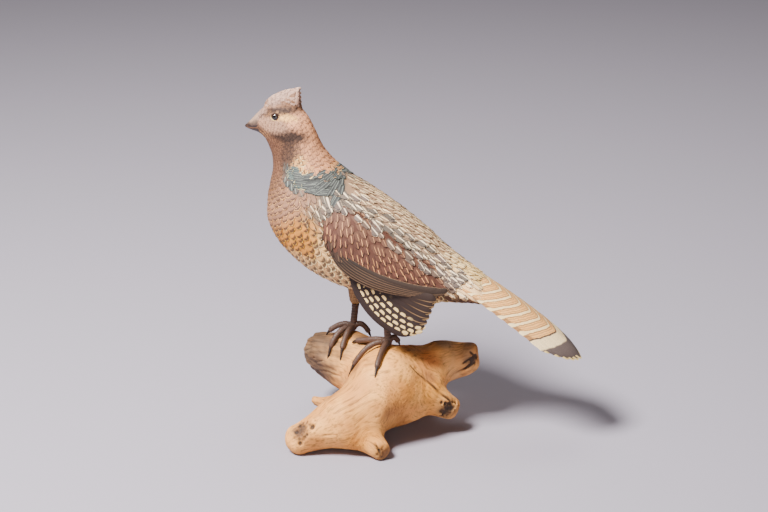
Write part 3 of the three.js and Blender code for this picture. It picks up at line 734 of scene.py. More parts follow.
def add_feathers(shape, tree, roots, out, along, length, width, rows, grid=(3, 4), lift=(-0.5, 0.9),
                 camber=0.35, point=0.0, roundness=1.0, streak=0.0):
    """Lays feathers as thin closed plates on a surface.

    length and width are in mm, one for each. grid is the plate's squares along and across. lift is
    how high its root and its tip are, camber how much it bows, point how much narrower its tip is,
    and streak how far aside its shaft is painted. rows holds the paint, or works it out by point.
    """
    down_n, over_n = grid
    count = len(roots)
    length = np.broadcast_to(length, count).astype(float)
    half = np.broadcast_to(width, count).astype(float) / 2
    streak = np.broadcast_to(streak, count)
    roundness = np.minimum(roundness, 0.8 * length / half)
    out = unit(out)
    along = unit(along - out * (along * out).sum(-1, keepdims=True))
    side = np.cross(out, along)
    u = np.sin(np.linspace(-0.5, 0.5, over_n + 1) * np.pi)
    s = np.linspace(0, 1, down_n + 1)
    bow = 1 - np.sqrt(np.maximum(1 - u * u, 0))
    v = s[None, :, None] * (1 - (roundness * half / length)[:, None] * bow[None])[:, None, :]
    w = half[:, None, None] * (1 - point * v * v) * u[None, None, :]
    flat = (roots[:, None, None] + along[:, None, None] * (v * length[:, None, None])[..., None]
            + side[:, None, None] * w[..., None])
    ways = np.broadcast_to(out[:, None, None], flat.shape).reshape(-1, 3)
    places, facing = settle(tree, flat.reshape(-1, 3), ways.copy())
    facing = unit(facing + ways)
    rise = lift[0] + (lift[1] - lift[0]) * v ** 0.8 + camber * (1 - u * u)[None, None, :] * np.sqrt(v)
    top = (places + facing * rise.reshape(-1)[:, None]).reshape(count, -1, 3)
    floor = (places - facing * SKIRT).reshape(count, -1, 3)
    index = np.arange((down_n + 1) * (over_n + 1)).reshape(down_n + 1, over_n + 1)
    rim = np.concatenate([index[0, :-1], index[:-1, -1], index[-1, :0:-1], index[:0:-1, 0]])
    first = index.size
    ring = first + np.arange(len(rim))
    walls = stacked(rim, ring, np.roll(ring, -1), np.roll(rim, -1))
    faces = [tuple(face) for face in (*squares(index)[:, ::-1], *walls[:, ::-1], ring)]
    hidden = [False] * (len(faces) - 1) + [True]
    grid_u, grid_v = (np.broadcast_to(held, v.shape).reshape(count, -1) for held in (u, v))
    for i in range(count):
        points, us, vs = (np.concatenate([over, under[rim]]) for over, under in
                          ((top[i], floor[i]), (grid_u[i], grid_u[i]), (grid_v[i], grid_v[i])))
        vane = stacked(us, vs, length[i], half[i])
        local = stacked(us * half[i], vs * length[i])
        local[first:, 0] += np.sign(us[first:]) * (np.abs(us[first:]) > 0.99) * MAP_WALL
        local[first:, 1] += np.where(vs[first:] > 0.5, MAP_WALL, 0) - np.where(vs[first:] < 0.01, MAP_WALL, 0)
        paints = rows(i, us, vs) if callable(rows) else np.tile(rows[i], (len(points), 1))
        values = painted(paints, vane, chance=float(RANDOM.random()))
        values["extra"][:, 1:3] = roundness[i], streak[i]
        shape.add(points, faces, PLUMAGE, values, local, hidden)


# Laying out the feathers

def spaced(place, t, width, phase):
    """Places round a ring of a form at about that width apart, by the length of the ring."""
    around = np.linspace(0.75, 1.75, 400)
    ring = place(np.full(400, t), around % 1)
    dense = 1 + 0.35 * (t > BACK_START) * (1 - smooth(0.35, 0.55, from_back(around[1:])))
    steps = travelled(ring, dense)
    count = max(int(round(steps[-1] / width)), 6)
    at = (np.arange(count) + phase) / count * steps[-1]
    return np.interp(at, steps, around) % 1


def in_profile(outline, x, z, margin):
    """Whether points are inside a closed outline in the bird's profile, by more than a margin."""
    inside = np.zeros(x.shape, bool)
    nearest = np.full(x.shape, 1e9)
    for (ax, az), (bx, bz) in zip(outline, np.roll(outline, -1, axis=0)):
        wide, high = bx - ax, bz - az
        if high:
            inside ^= ((az > z) != (bz > z)) & (x < wide * (z - az) / high + ax)
        share = np.clip(((x - ax) * wide + (z - az) * high) / (wide ** 2 + high ** 2), 0, 1)
        nearest = np.minimum(nearest, np.hypot(ax + share * wide - x, az + share * high - z))
    return inside & (nearest > margin)


def shield_outline():
    """The lower edge and the upper edge of the wing's shield in the bird's profile."""
    t = np.linspace(0, 1, 60)
    low, high = shield(1)(t, np.full(60, 0.5)), shield(1)(t, np.zeros(60))
    return low[:, [0, 2]], high[:, [0, 2]]


SHIELD_LOW, SHIELD_TOP = shield_outline()


def body_feathers(shape, tree):
    """Rows of feathers all round the head, neck and body, each row over the next one's roots."""
    outline = np.concatenate([SHIELD_LOW, SHIELD_TOP[::-1]])
    fine = np.linspace(0, 1, 2000)
    gone = travelled(body(fine, np.full(2000, 0.75)))
    steps, widths = np.array(BODY_STEPS).T, np.array(BODY_WIDTHS).T
    row, t = 0, BODY_STEPS[0][0]
    while t < FEATHERS_END:
        small = t < HEAD_END
        ahead = np.interp(np.interp(t, fine, gone) + np.interp(t, *steps), gone, fine)
        width = np.interp(t, *widths)
        around = spaced(body, t, width, 0.5 * (row % 2))
        count = len(around)
        around = around + RANDOM.normal(0, 0.08 * width / 300, count)
        down = from_back(around)
        on_back = (t > BACK_START) & (down < 0.5)
        here = t + RANDOM.normal(0, 1, count) * np.where(on_back, 0.26, 0.07) * (ahead - t)
        roots, nexts = body(here, around), body(here + (ahead - t), around)
        out, way = normals(body, here, around), nexts - roots
        covered = in_profile(outline, roots[:, 0], roots[:, 2], 4) & (np.abs(roots[:, 1]) > 15)
        in_ruff = (ruff_share(here, down) > 0.75) & (down < 0.47)
        middle = mix(roots, nexts, 0.8)
        from_eye = np.hypot(middle[:, 0] - EYE["x"], middle[:, 2] - EYE["z"])
        keep = ~covered & ~in_ruff & ((from_eye > EYE["radius"] + 1) | (np.abs(middle[:, 1]) < 8))
        keep &= (down > 0.45) | (t < RUMP_END - 0.42 * down)
        size = np.linalg.norm(way, axis=1)
        length = (size * np.where(on_back, 1.95, 1.65) + 1.2) * RANDOM.uniform(0.92, 1.12, count)
        uneven = 0.92 * RANDOM.uniform(0.8, 1.3, count), 1.2 * RANDOM.uniform(0.94, 1.08, count)
        spread = width * np.where(on_back, *uneven)
        fall = np.where(on_back, 0.22 * np.sign(roots[:, 1]) * smooth(0.08, 0.3, down), 0)
        sway = RANDOM.normal(0, 1, count) * np.where(on_back, 0.2, 0.07)
        leaning = way + np.cross(out, way) * (sway + fall)[:, None]
        kept = np.flatnonzero(keep)
        turn = spread / 2 / np.linalg.norm(body(here, around) - body(here, around + 0.001), axis=1) * 0.001

        def by_point(i, us, vs):
            k = kept[i]
            at = np.minimum(here[k] + vs * (ahead - t) * length[k] / size[k], 1)
            round_ = around[k] + us * turn[k]
            return coat(body(at, round_), at, round_, 0.0)

        add_feathers(
            shape, tree, roots[keep], out[keep], leaning[keep], length[keep], spread[keep],
            by_point if small else coat(roots, here, around)[keep],
            grid=(2, 3) if small else (3, 4), camber=0.12 if small else 0.35,
            lift=(-0.3, 0.34) if small else (-0.6, 0.8 if t > BACK_START else 0.65),
            roundness=np.where(on_back, 2.6, 1.15)[keep],
            streak=np.where(on_back, -0.22 * np.sign(roots[:, 1]), 0)[keep],
        )
        row, t = row + 1, ahead


def ruff_feathers(shape, tree):
    """The long dark feathers of the ruff, swept forward round the side of the neck."""
    count = 12
    for side in (-1, 1):
        for row, (start, long) in enumerate(RUFF_ROWS):
            level = (np.arange(count) + 0.1 + 0.5 * (row % 2)) / (count - 0.4)
            level = level + RANDOM.normal(0, 0.02, count)
            down = start + RANDOM.normal(0, 0.02, count)
            t, t_next = (mix(*ruff_edges(d), level) for d in (down, down + 0.04))
            at, at_next = (side * d / 2 % 1 for d in (down, down + 0.04))
            roots, out = body(t, at), normals(body, t, at)
            rows = coats("ruff" if row else "ruff_tip", count)
            length = long * RANDOM.uniform(0.8, 1.2, count)
            add_feathers(shape, tree, roots, out, body(t_next, at_next) - roots, length, 4.2, rows,
                         grid=(5, 3), lift=(-0.3, 1.0), roundness=3.6)


def wing_way(x):
    """The way that the wing's covert feathers point, seen from the side, at that x."""
    lean = np.radians(np.interp(x, [-60, -30, 20, 80], [2, 10, 24, 34]))
    return stacked(np.sin(lean), 0, -np.cos(lean))


def from_side(tree, side, x, z):
    """The outermost points and normals of the bird's side at places in its profile."""
    points, facing, found = np.zeros((len(x), 3)), np.zeros((len(x), 3)), np.zeros(len(x), bool)
    for i in range(len(x)):
        hit, normal, _, _ = tree.ray_cast(Vector((x[i], side * 120.0, z[i])), Vector((0, -side, 0)), 110)
        if hit is not None:
            normal = np.array(normal)
            points[i], facing[i], found[i] = hit, normal * np.sign(normal[1] * side), True
    return points, facing, found


def covert_feathers(shape, tree, side):
    """Staggered rows of narrow covert feathers down the wing's shield, with painted shade towards its lower
    front.
    """
    spacing, step, tilt = 5.6, 8.6, math.radians(-68)
    i, j = np.meshgrid(np.arange(-40, 41), np.arange(-60, 61), indexing="ij")
    along, across = i * step, (j + 0.5 * (i % 2)) * spacing
    x = 10 + along * math.cos(tilt) - across * math.sin(tilt) + RANDOM.normal(0, 0.7, along.shape)
    z = 210 + along * math.sin(tilt) + across * math.cos(tilt) + RANDOM.normal(0, 1.5, along.shape)
    order = np.argsort(-along.ravel(), kind="stable")
    x, z = x.ravel()[order], z.ravel()[order]
    low, top = np.interp(x, *SHIELD_LOW.T), np.interp(x, *SHIELD_TOP.T)
    above = np.interp(x, [-60, -40, 0, 80], [1, 4, 9, 8])
    keep = (x > -58) & (x < 82) & (z < top + 5) & (z > low + above)
    points, facing, found = from_side(tree, side, x[keep], z[keep])
    x, z, low, top = (held[keep][found] for held in (x, z, low, top))
    count = len(x)
    height = (z - low) / np.maximum(top - low, 1)
    uneven = height + 0.05 * RANDOM.normal(0, 1, count) - 0.15 * (1 - smooth(-60, -10, x))
    # The low, front coverts take a darker copy of the shield's paint: painted shade where the wing turns
    # under.
    layers = [("shield_top", smooth(0.62, 0.95, height)), ("shield_low_shade", 1 - smooth(0.2, 0.42, uneven))]
    rows = varied(layered(coats("shield", count), layers), 0.07)
    way = wing_way(x) + RANDOM.normal(0, 0.05, (count, 3)) * [1, 0, 1]
    length, width = 15.5 * RANDOM.uniform(0.88, 1.12, count), 7.6 * RANDOM.uniform(0.8, 1.15, count)
    add_feathers(shape, tree, points[found], facing[found], way, length, width, rows, lift=(-0.6, 0.7),
                 camber=0.3, roundness=2.4, streak=-0.15 * side)


def scapular_feathers(shape, tree, side):
    """Rows of bigger feathers along the wing's upper edge, some of them grey with a bold white streak."""
    for row, (above, size, count, greys) in enumerate(SCAPULAR_ROWS):
        t = np.clip(np.linspace(0.06, 0.96, count) + 0.02 * (row % 2) + RANDOM.normal(0, 0.01, count), 0, 1)
        edge = shield(1)(t, np.zeros(count))
        x = edge[:, 0] + 0.6 * above - 6 + RANDOM.normal(0, 1.3, count)
        z = edge[:, 2] + above + 6 + RANDOM.normal(0, 1.2, count)
        points, facing, found = from_side(tree, side, x, z)
        grey = RANDOM.random(count) < greys
        other = paint("shoulder") if row else mix(paint("shield_top"), paint("shoulder"), 0.6)
        rows = varied(np.where(grey[:, None], paint("scapular"), other), 0.1)
        lean = np.radians(np.linspace(62, 40, count) + RANDOM.normal(0, 9, count) + (0 if row else 6))
        way = stacked(np.cos(lean), 0, -np.sin(lean))
        length, width = (full * size * RANDOM.uniform(0.8, 1.15, count) for full in (21, 11.5))
        laid = (held[found] for held in (points, facing, way, length, width, rows))
        add_feathers(shape, tree, *laid, grid=(4, 4), lift=(-0.5, 1.1), camber=0.5, roundness=2.2,
                     streak=-0.3 * side)


def thigh_feathers(shape, leg):
    """Hair-like pale feathers down the thigh to the cuff."""
    place = thigh(leg)
    tree = tree_of((place, (24, 32)))
    count, rows = 11, 9
    for row, t in enumerate(np.linspace(0.28, 0.93, rows)):
        around = (np.arange(count) + 0.5 * (row % 2)) / count
        at = np.full(count, t)
        roots, nexts = place(at, around), place(at + 0.05, around)
        out = normals(place, at, around)
        outward = ((roots - place(at, around + 0.5)) * out).sum(-1, keepdims=True) > 0
        add_feathers(shape, tree, roots, np.where(outward, out, -out), nexts - roots,
                     8.5 if row < rows - 1 else 5.5, mix(6.5, 3.2, t), coats("thigh", count),
                     grid=(2, 3), lift=(-0.4, 0.7), camber=0.2)


def crest_feathers(shape):
    """Narrow feathers that sweep back over the crest."""
    tree = tree_of((crest, CREST_GRID))
    count = 4
    for row, t in enumerate(np.linspace(0.06, 0.9, 10)):
        for side in (-1, 1):
            around = (0.03 + (np.arange(count) + 0.5 * (row % 2)) * 0.105) * side
            roots = crest(np.full(count, t), around % 1)
            out, way = (np.tile(v, (count, 1)) for v in ([0.0, side, 0.35], [0.93, 0.0, 0.34]))
            add_feathers(shape, tree, roots, out, way, 8.5, 3.4, coats("crest", count), grid=(3, 3),
                         lift=(-0.3, 0.5), camber=0.15, point=0.5)


# Blades: the crest's tips, tail feathers, hanging flight feathers, secondaries

def add_blade(shape, spine, across, half_width, thickness, slot, extra, rings, columns=8, ridge=0.35,
              camber=0.5, values=None):
    """A long feather: spine(t), the direction across it at t, half_width(t), thickness(t).

    Its values carry how far across and along each point is, and extra numbers for the paint.
    """
    t = 0.5 - 0.5 * np.cos(np.pi * np.linspace(0, 1, rings + 1))
    line = spine(t)
    heading, width = unit(np.gradient(line, axis=0)), unit(across(t))
    face = unit(np.cross(heading, width))
    u = np.sin(np.linspace(-0.5, 0.5, columns + 1) * np.pi * 0.94) / math.sin(0.47 * math.pi)
    half, thick = half_width(t), thickness(t)
    dome, bow = (1 - u * u) ** 0.5, camber * (1 - u * u)
    flat = line[:, None] + width[:, None] * (half[:, None] * u)[..., None]
    crown = thick[:, None] * (0.5 * dome + bow) + ridge * np.exp(-(u * half[:, None] / 0.7) ** 2)
    top = flat + face[:, None] * crown[..., None]
    under = flat + face[:, None] * (thick[:, None] * (-0.5 * dome + bow))[..., None]
    index = np.arange((rings + 1) * (columns + 1)).reshape(rings + 1, -1)
    inner = index.size + np.arange((rings + 1) * (columns - 1)).reshape(rings + 1, -1)
    below = np.concatenate([index[:, :1], inner, index[:, -1:]], axis=1)
    start, end = (np.concatenate([index[k], below[k, -2:0:-1]]) for k in (0, -1))
    sides = [*squares(index)[:, ::-1], *squares(below, True)[:, ::-1]]
    faces = [tuple(face) for face in (*sides, start, end[::-1])]
    spread = lambda held: np.concatenate([part.ravel() for part in (held, held[:, 1:-1])])
    distance = travelled(line)
    us, along, halves = (spread(np.broadcast_to(held, index.shape))
                         for held in (u, distance[:, None], half[:, None]))
    vane = stacked(us, along / distance[-1], distance[-1], halves)
    lower = 1.0 * (np.arange(len(us)) >= index.size)
    # The edges belong to both sides in the map, so the lower side starts a column further in.
    local = stacked(us * halves * (1 - 2 * lower) + lower * (2 * half.max() + 1), along)
    held = {**(values or {}), "vane": vane, "extra": np.array([*extra, 0.0])}
    points = np.concatenate([top.reshape(-1, 3), under[:, 1:-1].reshape(-1, 3)])
    shape.add(points, faces, slot, held, local, [False] * len(sides) + [True] * 2)


def edgewise(spine, side, tilt=0.0):
    """The direction across a blade that lies on the bird's side, tilted outwards or not."""
    def across(t):
        along = np.gradient(spine(t), axis=0)
        return -side * stacked(-along[:, 2], -tilt * side * np.abs(along[:, 0]), along[:, 0])

    return across


def plain_blade(name):
    """The paint of a blade that has one coat from end to end."""
    values = painted(paint(name)[None], (0, 0, 0, 0), 0.5)
    return {key: values[key][0] for key in PAINTED}


def crest_tips(shape):
    """The free tips at the rear of the crest."""
    count = 9
    for i in range(count):
        share, side = (i + 0.5) / count, (-1) ** i
        start = np.array([mix(-104.0, -99.0, share), 1.2 * side, mix(377.5, 358.0, share)])
        end = start + [mix(10.8, 6.6, share) + 0.8 * side, 0.6 * side, mix(3.6, 1.0, share)]
        add_blade(
            shape, lambda t: mix(start, end, t[:, None]),
            lambda t: np.broadcast_to([-0.2, 0.0, 1.0], (len(t), 3)),
            lambda t: 2.0 * np.minimum(1, np.sqrt(5 * (1 - t))) + 1e-3,
            lambda t: 1.9 * np.minimum(1, 8 * (1 - t)) + 0.05,
            PLUMAGE, (RANDOM.random(), 1.0, 0), rings=8, columns=4, ridge=0.1, camber=0.1,
            values=plain_blade("crest"),
        )


def add_tail(shape):
    """The tail's feathers, the outermost ones first, with the notches along their outer edges."""
    last = len(TAIL["lengths"]) - 1
    for number in sorted(range(-last, last + 1), key=lambda n: -abs(n)):
        length, outermost = TAIL["lengths"][abs(number)], abs(number) == last
        spine = tail_spine(number)

        def across(t):
            return stacked(0, 1, -2 * TAIL["arch"] * spine(t)[:, 1])

        def half_width(t):
            along = t * length
            cell = ((along - NOTCHES["first"]) / NOTCHES["gap"]) % 1
            within = (along > NOTCHES["from"]) * (along < NOTCHES["to"]) * outermost
            wide = TAIL["half_width"] - NOTCHES["depth"] * np.exp(-((cell - 0.5) / 0.16) ** 2) * within
            return wide * np.minimum(np.minimum(0.85 + 0.5 * t, 1), np.sqrt(9 * (1 - t)) + 1e-4)

        add_blade(shape, spine, across, half_width,
                  lambda t: TAIL["thickness"] * 0.7 * thin_ends(t, 6, 12) + 0.02, TAIL_FEATHERS,
                  (RANDOM.random(), (number + last) / (2 * last), length / 200),
                  rings=56 if outermost else 34)


def add_primaries(shape, side):
    """The hanging flight feathers, the hindmost first."""
    for i in reversed(range(PRIMARIES)):
        share = i / (PRIMARIES - 1)
        spine = primary_spine(side, share)
        add_blade(shape, spine, edgewise(spine, side),
                  lambda t: PRIMARY_HALF_WIDTH * round_ends(t, 4, 9) + 1e-3,
                  lambda t: PRIMARY_THICKNESS * 0.8 * thin_ends(t, 6, 12) + 0.02, FLIGHT_FEATHERS,
                  (RANDOM.random(), share, side), rings=26, columns=6, camber=0.35)


def secondary_feathers(shape, side):
    """The long feathers along the lower edge of the wing, each tucked under the one above it."""
    place = shield(side)
    for i in range(SECONDARIES):
        first, last = 0.27 + 0.02 * i, 0.985 - 0.03 * abs(i - 1.5)
        level, rise = 0.5 - 0.075 * math.sqrt(i + 0.2), -0.6 + 0.22 * i

        def spine(t):
            at, around = mix(first, last, t), level - 0.05 * t * (1 - t)
            out = normals(place, at, around)
            return place(at, around) + out * np.sign(out[:, 1:2] * side) * (rise + 0.6 * t)[:, None]

        add_blade(shape, spine, edgewise(spine, side, 0.3),
                  lambda t: mix(1.8, 3.8, np.sqrt(t)) * round_ends(t, 8, 14) + 1e-3,
                  lambda t: 1.2 * thin_ends(t, 8, 14) + 0.02, PLUMAGE,
                  (RANDOM.random(), i / 8, 0.76 * side), rings=24, columns=6, ridge=0.1, camber=0.3,
                  values=plain_blade("secondary"))


# Materials

# How far apart a feather's fine barbs are, in mm, and how much they slant from its shaft.
BARB_SPACING = 0.55
BARB_SLANT = 0.9
# The tail's chevrons, in mm from the root, and where its bands begin near the tip.
CHEVRONS = {"first": 50.5, "gap": 13.0, "end": 117.0}
DARK_LINE, WHITE_BAND, DARK_BAND = 118.2, 120.0, 133.5
# The flight feathers' cream spots: how far apart, half their length and half their width, in mm.
SPOTS = {"gap": 9.0, "long": 3.25, "wide": 2.75, "squareness": 2.6}


def sum_with(operation, flipped=False):
    """A wire's method that adds a math node, with the wire as its first value or its last."""
    def method(self, *others):
        values = (*others, self) if flipped else (self, *others)
        return self.paint.math(operation, *values)

    return method


class Wire:
    """A shader socket that sums can be written with, as in 1 - wire * 0.5."""

    def __init__(self, paint, socket):
        self.paint, self.socket = paint, socket

    __add__ = __radd__ = sum_with("ADD")
    __mul__ = __rmul__ = sum_with("MULTIPLY")
    __sub__ = sum_with("SUBTRACT")
    __rsub__ = sum_with("SUBTRACT", flipped=True)
    __truediv__ = sum_with("DIVIDE")
    __pow__ = sum_with("POWER")
    __abs__ = sum_with("ABSOLUTE")


class Paint:
    """Builds one material's shader from short steps. A number or a colour can stand for a wire."""

    def __init__(self, name, **constants):
        self.material = bpy.data.materials.new(name)
        self.material.use_nodes = True
        self.tree = self.material.node_tree
        self.tree.nodes.clear()
        self.shader = self.tree.nodes.new("ShaderNodeBsdfPrincipled")
        out = self.tree.nodes.new("ShaderNodeOutputMaterial")
        self.tree.links.new(self.shader.outputs[0], out.inputs[0])
        for key, value in constants.items():
            self.shader.inputs[key.replace("_", " ")].default_value = value
        self.place = self.shade(self.node("TexCoord", ["Object"], {}), 1 / MM)

    def put(self, socket, value):
        if isinstance(value, Wire):
            self.tree.links.new(value.socket, socket)
        elif isinstance(value, (list, tuple, np.ndarray)):
            numbers = [float(v) for v in value]
            socket.default_value = numbers + [1.0] * (len(socket.default_value) - len(numbers))
        else:
            socket.default_value = value

    def node(self, kind, outputs, inputs, **settings):
        """Adds a node with its settings and its inputs, and returns the outputs that are asked for."""
        node = self.tree.nodes.new("ShaderNode" + kind)
        for key, value in settings.items():
            setattr(node, key, value)
        for key, value in inputs.items():
            self.put(node.inputs[key], value)
        wires = [Wire(self, node.outputs[key]) for key in outputs]
        return wires if len(wires) > 1 else wires[0]

    def math(self, operation, *values, clamp=False):
        return self.node("Math", [0], dict(enumerate(values)), operation=operation, use_clamp=clamp)

    def shade(self, colours, amount):
        """Brightens or darkens colours by a factor."""
        return self.node("VectorMath", [0], {0: colours, "Scale": amount}, operation="SCALE")

    def fade(self, value, low, high, top=1.0):
        """From 0 where the value is low to top where it is high, smoothly."""
        ends = {"Value": value, "From Min": low, "From Max": high, "To Max": top}
        return self.node("MapRange", [0], ends, interpolation_type="SMOOTHSTEP")

    def fall(self, value, low, high):
        """From 1 where the value is low to 0 where it is high, smoothly."""
        return 1 - self.fade(value, low, high)

    def blend(self, share, a, b, kind="MIX"):
        return self.node("Mix", [2], {"Factor": share, 6: a, 7: b}, data_type="RGBA", blend_type=kind)

    def over(self, tone, *layers):
        """Lays colours over a tone, each with its share, the last one on top."""
        for share, code in layers:
            tone = self.blend(share, tone, colour(code))
        return tone

    def noise(self, scale, detail=2.0, roughness=0.5, place=None):
        """Cloudy unevenness from 0 to 1."""
        inputs = {"Vector": place or self.place, "Scale": scale, "Detail": detail, "Roughness": roughness}
        return self.node("TexNoise", ["Fac"], inputs)

    def repeat(self, value, gap):
        """How far a value is from the middle of its cell, where the cells are a gap apart."""
        return (self.math("FRACT", value / gap) - 0.5) * gap

    def parts(self, place):
        """The three numbers of a place."""
        return self.node("SeparateXYZ", [0, 1, 2], {0: place})

    def held(self, name):
        """A point's own values: the first three together, each of them, and the fourth."""
        outputs = ["Color", "Vector", "Alpha"]
        together, vector, fourth = self.node("Attribute", outputs, {}, attribute_name=name)
        return together, self.parts(vector), fourth

    def joined(self, *numbers):
        return self.node("CombineXYZ", [0], dict(enumerate(numbers)))

    def bump(self, height, distance, strength):
        inputs = {"Height": height, "Distance": distance * MM, "Strength": strength}
        self.put(self.shader.inputs["Normal"], self.node("Bump", [0], inputs))

    def finish(self, colours, roughness):
        self.put(self.shader.inputs["Base Color"], colours)
        self.put(self.shader.inputs["Roughness"], roughness)
        return self.material


class FeatherPaint(Paint):
    """A paint that knows where on its feather each point is, with the fine lines of the barbs."""

    def __init__(self, name):
        super().__init__(name, Specular_IOR_Level=0.3)
        _, (self.u, self.v, self.length), self.half = self.held("vane")
        _, self.extra, _ = self.held("extra")
        self.along = self.v * self.length
        out = abs(self.u) * self.half
        place = self.joined(out * 0.25, self.along - out * BARB_SLANT, self.extra[0] * 37.0)
        self.line = self.noise(1 / BARB_SPACING, 1.0, place=place)
        self.bump(self.line, 0.12, 0.6)


def plumage():
    """Feathers in four colours: ground, a band inside the rim, a shaft streak and a pale edge, with painted
    shade towards each root.
    """
    p = FeatherPaint("plumage")
    ground, _, edge_width = p.held("ground")
    edge, _, band_width = p.held("edge")
    band, _, shaft_half = p.held("band")
    shaft, _, shaft_start = p.held("shaft")
    u, v, half = p.u, p.v, p.half
    chance, roundness, offset = p.extra
    bow = 1 - p.math("SQRT", p.math("SUBTRACT", 1, u * u, clamp=True))
    from_tip = p.length - bow * half * roundness - p.along
    from_side = (1 - abs(u)) * (half * 2.4)
    rim = p.math("SMOOTH_MIN", from_tip, from_side, 0.8) + (p.noise(0.9) - 0.5) * 0.9
    edge_share = p.fall(rim, edge_width * 0.7, edge_width * 1.25)
    edge_share = edge_share * (0.25 + p.fade(p.noise(0.22), 0.36, 0.52) * 0.75)
    inner = edge_width + band_width
    sides = p.fade(abs(u), 0.5, 0.85) * p.fall(roundness, 1.4, 1.7)
    band_share = p.fall(rim, inner, inner * 1.6) * (1 - sides)
    streak_half = shaft_half * ((1.4 - v) * (0.7 + chance * 0.6))
    streak = p.fall(abs(u - offset), streak_half * 0.6, streak_half + 0.05)
    streak = streak * p.fade(v, shaft_start, shaft_start + 0.15)
    tone = p.blend(band_share * 0.9, ground, band)
    tone = p.blend(streak * 0.9, tone, shaft)
    tone = p.blend(edge_share * 0.95, tone, edge)
    # Partly painted shade: each feather is darker towards its root, under the feather that overlaps it; the
    # rest is the barbs' lines and tone that varies by chance.
    light = (0.62 + p.fade(v, 0.0, 0.45) * 0.38) * (0.82 + p.line * 0.36) * (0.9 + chance * 0.2)
    light = light * (0.85 + p.noise(0.05, 3.0) * 0.3) * (0.78 + p.noise(1.1, 3.0, 0.7) * 0.44)
    return p.finish(p.shade(tone, light), 0.72)


def bill_paint():
    """Pale horn above, dark below and along the mouth."""
    p = Paint("bill_horn", Specular_IOR_Level=0.4)
    _, (up, t, _), _ = p.held("vane")
    level = up - (0.5 - p.fade(t, 0.1, 0.6, 0.5)) + (p.noise(0.5, 3.0) - 0.5) * 0.25
    tone = p.over(colour("523a2f"), (p.fade(level, 0.40, 0.62), "937b6c"),
                  (p.fade(level, 0.6, 0.9), "c4ae9f"))
    return p.finish(tone, 0.45)


def tail_paint():
    """Chevrons across the whole tail, then a white band, a dark band and a pale rim, with painted shade along
    its outer edges.
    """
    p = FeatherPaint("tail_paint")
    out = abs(p.parts(p.place)[1] - float(SHIFT[1]))
    sweep = (30.0 - p.along * 0.115) * (out / 36.0) ** 1.25
    d = p.along + sweep + (p.noise(0.12, 3.0) - 0.5) * 3.0
    near = abs(p.repeat(d - CHEVRONS["first"], CHEVRONS["gap"]))
    bars = p.fall(d, CHEVRONS["end"], CHEVRONS["end"] + 0.6)
    swell = p.fade(out, 31.0, 36.0, 1.3)
    white = p.fall(near, swell + 1.1, swell + 1.7) * bars
    dark = p.fade(near, 1.6, 2.0) * p.fall(near, 2.6, 3.2) * bars
    second = p.fall(abs(near - 4.8), 0.4, 0.9) * bars
    fleck = p.noise(0.9, 4.0, 0.7)
    tan = p.blend(p.fade(fleck, 0.35, 0.65), colour("edc4a0"), colour("f8e0c4"))
    # The darker brown along the tail's outer edges is painted shade between the white notch marks.
    tone = p.over(tan, (p.fade(out, 32.0, 35.5, 0.7), "a3785a"), (dark * 0.7, "7a5440"),
                  (second * 0.45, "9c7353"), (white, "f5eada"),
                  (p.fade(d, DARK_LINE, DARK_LINE + 0.6), "7d6050"))
    pale = p.blend(p.fade(fleck, 0.45, 0.75), colour("ece2d4"), colour("cfc2b2"))
    tone = p.blend(p.fade(d, WHITE_BAND, WHITE_BAND + 1), tone, pale)
    char = p.blend(fleck, colour("6e5f59"), colour("a0908a"))
    tone = p.blend(p.fade(d, DARK_BAND, DARK_BAND + 2), tone, char)
    end = p.length - p.along
    side = (1 - abs(p.u)) * p.half + p.fade(end, 7.0, 11.0) * 9.0
    tone = p.over(tone, (p.fall(p.math("MINIMUM", end, side), 1.9, 3.0), "ece0cb"))
    return p.finish(p.shade(tone, (0.94 + p.line * 0.24) * (0.95 + p.extra[0] * 0.1)), 0.72)


def primary_paint():
    """Dark brown with rows of cream spots on the front feathers, plain brown behind."""
    p = FeatherPaint("primary_paint")
    _, share, side = p.extra
    v, half, front = p.v, p.half, p.u * side
    slid = p.along + share * 40.0 + (p.noise(0.35) - 0.5) * 2.6
    long, wide = p.repeat(slid, SPOTS["gap"]) / SPOTS["long"], (front - 0.42) * half / SPOTS["wide"]
    reach = abs(long) ** SPOTS["squareness"] + abs(wide) ** SPOTS["squareness"]
    spots = p.fall(reach, 0.75, 1.15) * p.fade(share, 0.06, 0.1)
    spots = spots * p.fall(share + v * 0.25, 0.66, 0.72) * p.fade(p.along, 22.0, 26.0)
    from_rim = (1 - front) * half
    rim = p.fade(from_rim, 0.3, 0.7) * p.fall(from_rim, 1.6, 2.2)
    rim = rim * (p.fade(share, 0.2, 0.4) * p.fade(v, 0.55, 0.8))
    vein = p.fall(abs(front - 0.3) * half, 0.25, 0.7) * p.fade(share, 0.3, 0.5)
    tone = p.over(colour("46312a"), (p.fade(share, 0.5, 0.8), "4d3529"),
                  (p.fade(front, 0.72, 0.95) * 0.6, "3e2b23"), (rim * 0.9, "d2bb9c"),
                  (vein * p.fade(v, 0.5, 0.85, 0.8), "c4a98c"), (spots, "ecdfca"))
    return p.finish(p.shade(tone, 0.86 + p.line * 0.28), 0.7)


def eyelid_paint():
    """Brown above the eye and cream below it."""
    p = Paint("eyelid", Specular_IOR_Level=0.3)
    up = p.parts(p.place)[2] - (float(SHIFT[2]) + EYE["z"])
    return p.finish(p.over(colour("eadac4"), (p.fade(up, -2.5, 3.0), "76543f")), 0.6)


# The bird

